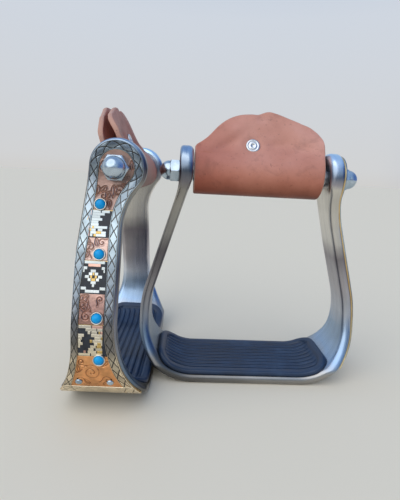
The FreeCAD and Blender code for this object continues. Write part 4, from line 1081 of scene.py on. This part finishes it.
def foot_strip():
    """Plain strip across the trim's foot, with a cross cut in each corner."""
    rise = np.linspace(run_at(CORNER[1] - CORNER_RADIUS * sin(FOOT_CORNER)), run_at(BORDER_FOOT), 44)
    _, front, rear = across_arm(rise, TRIM_INSETS)
    y = front + (rear - front) * np.linspace(0, 1, 190)
    from_end = np.minimum(y - front, rear - y)
    low, high = (rise - rise[0])[:, None], (rise[-1] - rise)[:, None]
    lines = np.exp(-((high - FOOT_LINE) / FOOT_LINE_WIDTH) ** 2)
    strokes = sum(np.exp(-((from_end - start - lean * (low - CROSS_HEIGHT) * CROSS_SLOPE) / CROSS_WIDTH) ** 2)
                  for start in CROSSES for lean in (-1, 1))
    cut = np.clip(lines + strokes * smooth_step(low, 0.8, 1.2) * smooth_step(high, 0.6, 1.0), 0, 1)
    cut *= smooth_step(from_end, 0.2, 0.6)
    height = BACKPLATE + FOOT_LEVEL - FOOT_CUT * cut - rounded(np.minimum(from_end, low), 0.3)
    return shell("foot", face_point(rise[:, None], y, height), face_point(rise[:, None], y, BACKPLATE),
                 nickel_silver, paint=(cut, 0))


border_outer = side_path(*TRIM_INSETS)
border_inner = side_path(TRIM_INSETS[0] + BORDER_WIDTH, TRIM_INSETS[1] + BORDER_REAR_WIDTH)
border_run = run_along((border_outer + border_inner) / 2)
border_set = border_facets(border_run[-1])
for mesh in border_set:
    wrap_border(mesh, border_outer, border_inner, border_run)
border_set += [border_strip(border_outer, border_inner), foot_strip()]
for side in SIDES:
    pieces = [new_piece("border_part", mesh.copy(), side) for mesh in border_set]
    border = joined(f"{side}_engraved_border", pieces)
    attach(border, f"{side}_stirrup")
    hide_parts(f"{side}_border_plate")


# Copper panels. Four sheets engraved with scrolls and leaves, set flush between the border's
# sides; the cut lines are bright at their lips and brown at their roots.
PANEL_INSETS = (6.35, 4.55)
COPPER_STEP = 0.17
COPPER_LEVEL = 0.44
CUT_WIDTH, CUT_DEPTH = 0.26, 0.32
LIP_PLACE, LIP_WIDTH, LIP_HEIGHT = 0.56, 0.16, 0.12
SHEET_ROUND = 0.15
CURL_HEART, TAIL_BEND, LEAF_WIDTH = 0.25, 0.35, 0.26
FAR = 9.0
# Painted reflection: the copper's tone by height stands in for what it mirrors: orange at the bottom panel,
# darker and pinker higher up.
COPPER_REFLECTION_TONES = ((18, 0.95, 0.45, 0.19), (41, 0.95, 0.46, 0.20), (50, 0.44, 0.24, 0.18),
                (66, 0.40, 0.24, 0.21), (74, 0.66, 0.42, 0.35), (92, 0.76, 0.54, 0.47),
                (103, 0.74, 0.52, 0.45), (117, 0.36, 0.25, 0.22), (135, 0.38, 0.25, 0.21))
engraved_copper, tree, place = new_material("engraved_copper")
cut_mark = mark(tree, "paint")
haze = noise(tree, place, 150.0, Detail=4.0)
# Copper: painted reflection by height, dulled by random haze.
copper = dulled(tree, by_height(tree, place, COPPER_REFLECTION_TONES, waver=2.0), haze, 0.36, 0.62, 0.62)
coat(tree, mixed(tree, copper, (0.16, 0.055, 0.028), cut_mark, "MIX"), (haze, 0.24, 0.38),
     ((noise(tree, place, 1700.0, Detail=2.0), 0.14, 0.06), (noise(tree, place, 330.0), 0.5, 0.35)),
     Metallic=1.0)


def scroll(y, z, radius, start, turns, hand, tail):
    """Spiral stroke from its outer end inwards, with a bent tail before it: points (y, z)."""
    t = np.linspace(0, 1, 140)
    angle = start + hand * t * turns * 2 * pi
    reach = radius * (1 - t) ** 0.9 + CURL_HEART
    curl = stacked(y + reach * np.cos(angle), z + reach * np.sin(angle))
    away = (curl[0] - curl[3]) / np.linalg.norm(curl[0] - curl[3])
    side = np.array([-away[1], away[0]]) * hand
    share = np.linspace(1, 0, 40)[:, None]
    return np.concatenate([curl[0] + away * tail * share + side * tail * TAIL_BEND * share ** 2, curl])


def leaf(y, z, direction, size, bend):
    """Three strokes of a leaf from its root: its vein and its two sides."""
    forward = np.array([cos(direction), sin(direction)])
    across = np.array([-forward[1], forward[0]])
    t = np.linspace(0, 1, 40)[:, None]
    spine = np.array([y, z]) + forward * size * t + across * bend * size * t ** 2
    belly = LEAF_WIDTH * size * np.sin(pi * t ** 0.8) * across
    return [spine, spine + belly, spine - belly]


def copper_mesh(name, low, high, strokes):
    """One engraved sheet between two heights."""
    rise = np.linspace(run_at(low), run_at(high), int((run_at(high) - run_at(low)) / COPPER_STEP))
    level, front, rear = across_arm(rise, PANEL_INSETS)
    y = front + (rear - front) * np.linspace(0, 1, int(np.max(rear - front) / COPPER_STEP))
    near = np.full(y.shape, FAR)
    for stroke in strokes:
        for point in stroke[::2]:
            near = np.minimum(near, np.hypot(y - point[0], level[:, None] - point[1]))
    cut = np.exp(-(near / CUT_WIDTH) ** 2)
    lip = np.exp(-((near - LIP_PLACE) / LIP_WIDTH) ** 2)
    ends = np.minimum(rise - rise[0], rise[-1] - rise)[:, None]
    edge = np.minimum(np.minimum(y - front, rear - y), ends)
    height = BACKPLATE + COPPER_LEVEL - CUT_DEPTH * cut + LIP_HEIGHT * lip - rounded(edge, SHEET_ROUND)
    return shell(name, face_point(rise[:, None], y, height), face_point(rise[:, None], y, BACKPLATE),
                 engraved_copper, paint=(cut * 0.8, 0))


COPPER = {
    "top": (117.15, 149.5, [(-10.5, 127.5, 3.0, 2.6, 1.25, -1, 3.0), (-2.4, 124.6, 2.4, 0.6, 1.2, 1, 3.0)],
            [(-7.5, 130.5, -1.9, 6.5, 0.35), (-12.0, 131.5, -2.4, 5.0, -0.3), (-3.5, 130.0, -1.2, 5.5, 0.3),
             (-5.2, 122.6, -2.0, 4.6, 0.25), (1.0, 130.0, -1.6, 6.0, 0.2), (-6.0, 127.0, -0.9, 5.0, -0.25),
             (-1.5, 138.0, 1.3, 5.0, 0.35), (-17.0, 139.0, 1.9, 5.0, -0.3)]),
    "upper": (90.65, 102.65, [(2.9, 97.4, 2.9, -1.2, 1.3, 1, 3.5), (-3.2, 100.0, 1.7, 2.0, 1.1, -1, 2.0)],
              [(5.4, 92.0, 2.2, 4.8, -0.3), (-1.6, 98.0, 0.9, 4.6, 0.3), (5.8, 101.6, -2.6, 4.4, 0.3)]),
    "lower": (57.85, 73.65, [(3.0, 61.8, 2.2, 1.4, 1.3, -1, 3.0), (-4.0, 70.6, 1.5, -0.6, 1.1, 1, 2.0)],
              [(5.6, 72.6, -1.9, 9.5, 0.12), (4.4, 72.8, -1.35, 8.5, 0.2), (2.6, 72.9, -0.9, 7.5, 0.3),
               (5.9, 70.0, -2.1, 8.0, -0.2)]),
    "bottom": (19.6, 40.45, [(0.2, 30.2, 5.0, 0.4, 1.9, 1, 5.0), (6.8, 24.4, 2.2, 3.0, 1.2, -1, 3.0),
                             (-8.4, 25.2, 2.6, 0.2, 1.2, 1, 3.0), (5.2, 36.8, 1.8, -1.8, 1.1, 1, 2.0)],
               [(-6.0, 34.4, 2.1, 4.6, 0.3), (1.6, 22.0, 0.5, 4.6, 0.35), (-5.4, 21.4, 2.8, 4.8, -0.3),
                (7.0, 30.0, 1.2, 5.0, 0.25), (9.8, 21.4, 2.2, 4.0, 0.3)]),
}
for panel, (low, high, scrolls, leaves) in COPPER.items():
    strokes = [scroll(*given) for given in scrolls] + [stroke for given in leaves for stroke in leaf(*given)]
    mesh = copper_mesh(f"scroll_{panel}", low, high, strokes)
    for side in SIDES:
        piece = new_piece(f"{side}_scroll_{panel}", mesh.copy(), side)
        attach(piece, f"{side}_stirrup")
        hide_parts(f"{side}_copper_{panel}")


# Pattern panels. A black ground let into the trim, with stepped bars of silver, gold and copper
# soldered on it: half diamonds at the upper and lower panel, a whole one in the middle.
PANEL_FACE = 1.3
BAR_SINK = 0.1
BAR_LEAST = 0.3
# Painted reflection: the silver bars' tone by height, beige at the lower panel and grey-blue higher up.
BAR_REFLECTION_TONES = ((40, 0.92, 0.80, 0.58), (58, 0.86, 0.80, 0.68), (74, 0.66, 0.70, 0.70), (96, 0.60, 0.66, 0.67),
             (118, 0.56, 0.62, 0.64))
black_ground, tree, place = new_material("black_antiqued_ground")
haze = noise(tree, place, 400.0, Detail=4.0)
coat(tree, ramp(tree, haze, (0.35, 0.006, 0.008, 0.013), (0.70, 0.020, 0.025, 0.036)), (haze, 0.36, 0.50),
     [(haze, 0.3, 0.1)])
silver_bar, tree, place = new_material("silver_inlay_bar")
own_tone = ramp(tree, mark(tree, "tone"), (0.0, 1.0), (1.0, 0.72))
# Painted reflection by height, times each bar's own random tone.
tone = mixed(tree, by_height(tree, place, BAR_REFLECTION_TONES, waver=1.0), own_tone)
coat(tree, tone, (noise(tree, place, 90.0), 0.20, 0.34), [(noise(tree, place, 700.0, Detail=2.0), 0.3, 0.08)],
     Metallic=1.0)
gold_bar = plated_metal("gold_inlay_bar", (0.50, 0.34, 0.12), (0.70, 0.50, 0.20), 0.18, 0.30)
copper_bar = plated_metal("copper_inlay_bar", (0.56, 0.32, 0.25), (0.74, 0.48, 0.40), 0.22, 0.34)
BAR_METALS = {"silver": (silver_bar, "nickel_silver", 0.10), "gold": (gold_bar, "backing_brass", 0.18),
              "copper": (copper_bar, "copper", 0.14)}


def bar_model(material):
    """Bar of unit size standing on its middle, its upper edges turned off."""
    x, y = np.meshgrid(np.array([0, 0.03, 0.5, 0.97, 1]) - 0.5, np.array([0, 0.10, 0.5, 0.90, 1]) - 0.5,
                       indexing="ij")
    rise = np.where((np.abs(x) > 0.49) | (np.abs(y) > 0.49), 0.8, 1.0)
    return shell("bar", stacked(x, y, rise), stacked(x, y, 0.0), material, sharp=20)


def bar_spot(rise, front, rear, low, high):
    """Where one bar stands: its middle on the panel's face, its turn and its size."""
    run = (run_at(low) + run_at(high)) / 2
    level = np.array([(low + high) / 2])
    front = max(front, front_edge(level, PANEL_INSETS[0])[0])
    rear = max(min(rear, rear_edge(level, *PANEL_INSETS)[0]), front + BAR_LEAST)
    foot = face_point(run, (front + rear) / 2, PANEL_FACE - BAR_SINK)
    out = Vector(face_point(run, (front + rear) / 2, PANEL_FACE) - foot).normalized()
    across = Vector((0, 1, 0))
    turn = Matrix((across, out.cross(across), out)).transposed()
    return tuple(foot), tuple(turn.to_euler()), (rear - front, run_at(high) - run_at(low), rise + BAR_SINK)


# Each panel has its foot, its top, its count of rows and its bars: (row from the top, front, rear).
REAR = 6.6
PATTERNS = {
    "upper": (103.0, 116.8, 10, {
        "copper": [(0, 3.4, REAR), (1, 3.4, REAR), (2, 4.6, REAR), (6, 4.2, REAR), (7, 4.2, REAR),
                   (8, 4.0, REAR), (9, 4.0, REAR)],
        "silver": [(0, -6.4, -2.0), (0, -1.6, 3.0), (1, -3.8, 3.0), (2, -1.4, 4.2), (3, -2.6, REAR),
                   (4, -0.6, 5.2), (5, -0.8, REAR), (6, -5.6, 3.8), (7, -3.0, -0.4), (7, 0.6, 3.8),
                   (8, -5.0, 3.6), (9, -5.0, 1.4), (9, 2.2, 3.6)],
        "gold": [(3, 5.2, 6.4), (4, 5.4, 6.4), (6, 1.6, 2.6), (7, 3.0, 3.9), (8, -2.4, 0.4), (9, 0.4, 1.6)]}),
    "centre": (74.0, 90.4, 11, {
        "copper": [(1, -3.4, 3.4)],
        "silver": [(0, -5.6, 5.8), (2, 3.8, 5.8), (2, -5.6, -3.9), (3, -0.9, 1.9), (3, 5.2, 5.8),
                   (3, -5.6, -5.0), (4, 0.9, 2.8), (4, -2.2, -0.4), (5, 2.6, 4.8), (5, -4.4, -2.2),
                   (6, 1.6, 3.2), (6, -2.8, -1.2), (7, -1.2, 1.6), (8, -0.4, 0.8), (9, 3.8, 6.6),
                   (9, -6.4, -3.4), (10, -3.4, 4.4)],
        "gold": [(4, -0.2, 0.7), (5, -1.6, -0.5), (5, 0.9, 2.0), (6, -0.9, 1.3)]}),
    "lower": (40.8, 57.5, 11, {
        "silver": [(0, -0.2, REAR), (1, -6.2, -3.4), (1, -3.0, 2.8), (2, -3.4, -0.4), (2, 0.2, 1.6),
                   (3, -6.2, -0.2), (3, 3.6, REAR), (4, -5.4, -2.0), (4, 4.6, REAR), (5, -6.2, -1.0),
                   (5, 5.2, REAR), (6, -6.2, -1.8), (6, 4.2, REAR), (7, -2.8, 0.2), (7, 5.6, REAR),
                   (8, -6.2, -2.6), (8, -1.6, 1.2), (9, -3.0, 1.6), (10, -6.2, -0.2), (10, 0.4, REAR)],
        "gold": [(2, -4.9, -4.2), (4, -6.3, -5.7), (5, -0.8, 0.4), (6, -5.6, -3.6), (7, -5.8, -3.2),
                 (9, -6.2, -3.4)],
        "copper": [(0, -6.3, -0.6), (2, -6.3, -5.2), (9, 2.6, 3.8)]}),
}
for panel, (low, high, count, metals) in PATTERNS.items():
    step = (high - low) / count
    for side in SIDES:
        paint_node(f"{side}_pattern_{panel}", black_ground)
    for metal, bars in metals.items():
        material, slot, rise = BAR_METALS[metal]
        spots = [bar_spot(rise, front, rear, high - (row + 1) * step, high - row * step)
                 for row, front, rear in bars]
        mesh = copies(f"{panel}_bars", bar_model(material), spots, material)
        for side in SIDES:
            piece = new_piece(f"{side}_{panel}_{metal}_bars", mesh.copy(), side)
            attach(piece, f"{side}_stirrup")


# Stones. Four turquoise cabochons, each in a silver cup with a rolled rim; the cups are
# soldered to the panels.
STONES = ((119.8, -1.1), (93.9, -2.2), (61.3, -3.0), (38.7, -4.5))
STONE_RADIUS, STONE_FOOT, STONE_RISE = 2.7, 0.4, 2.1
DOME = [(STONE_FOOT, 0.0), (STONE_FOOT, STONE_RADIUS)]
DOME += [(STONE_FOOT + STONE_RISE * sin(turn), STONE_RADIUS * cos(turn) + TIP)
         for turn in np.linspace(0.05, pi / 2, 22)]
CUP = ((0.0, 0.0), (0.0, 3.32), (0.15, 3.4), (0.9, 3.38), (1.2, 3.28), (1.3, 3.12), (1.28, 2.95), (1.1, 2.74),
       (0.42, 2.72), (0.40, 0.0))
turquoise, tree, place = new_material("polished_turquoise")
blue = ramp(tree, noise(tree, place, 260.0, Detail=4.0), (0.30, 0.0, 0.25, 0.58), (0.55, 0.0, 0.34, 0.74),
            (0.75, 0.01, 0.43, 0.82))
vein = node(tree, "ShaderNodeTexVoronoi", Vector=place, Scale=420.0, feature="DISTANCE_TO_EDGE")
web = ramp(tree, vein, (0.0, 0.55, 0.60, 0.65), (0.035, 1.0))
coat(tree, mixed(tree, blue, web, 0.35), 0.30, Specular_IOR_Level=0.28)
cup_silver = plated_metal("worn_silver_cup", (0.60, 0.55, 0.46), (0.84, 0.80, 0.72), 0.20, 0.34)

stone_spots = [stood(lambda depth: face_point(run_at(height), y, depth), PANEL_FACE) for height, y in STONES]
STONE_PIECES = (("turquoise_cabochons", DOME, turquoise, "turquoise_stones", "turquoise"),
                ("bezel_cups", CUP, cup_silver, "stone_bezels", "nickel_silver"))
for name, profile, material, part, slot in STONE_PIECES:
    mesh = copies(name, lathe(profile, material, sharp=60), stone_spots, material)
    for side in SIDES:
        piece = new_piece(f"{side}_{name}", mesh.copy(), side)
        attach(piece, f"{side}_stirrup")
        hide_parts(f"{side}_{part}")


# Trim screws. Two dome-headed screws hold the foot of the trim to the casting.
for side in SIDES:
    paint_node(f"{side}_trim_screws", bright_steel)

bpy.context.scene.view_settings.view_transform = "Standard"
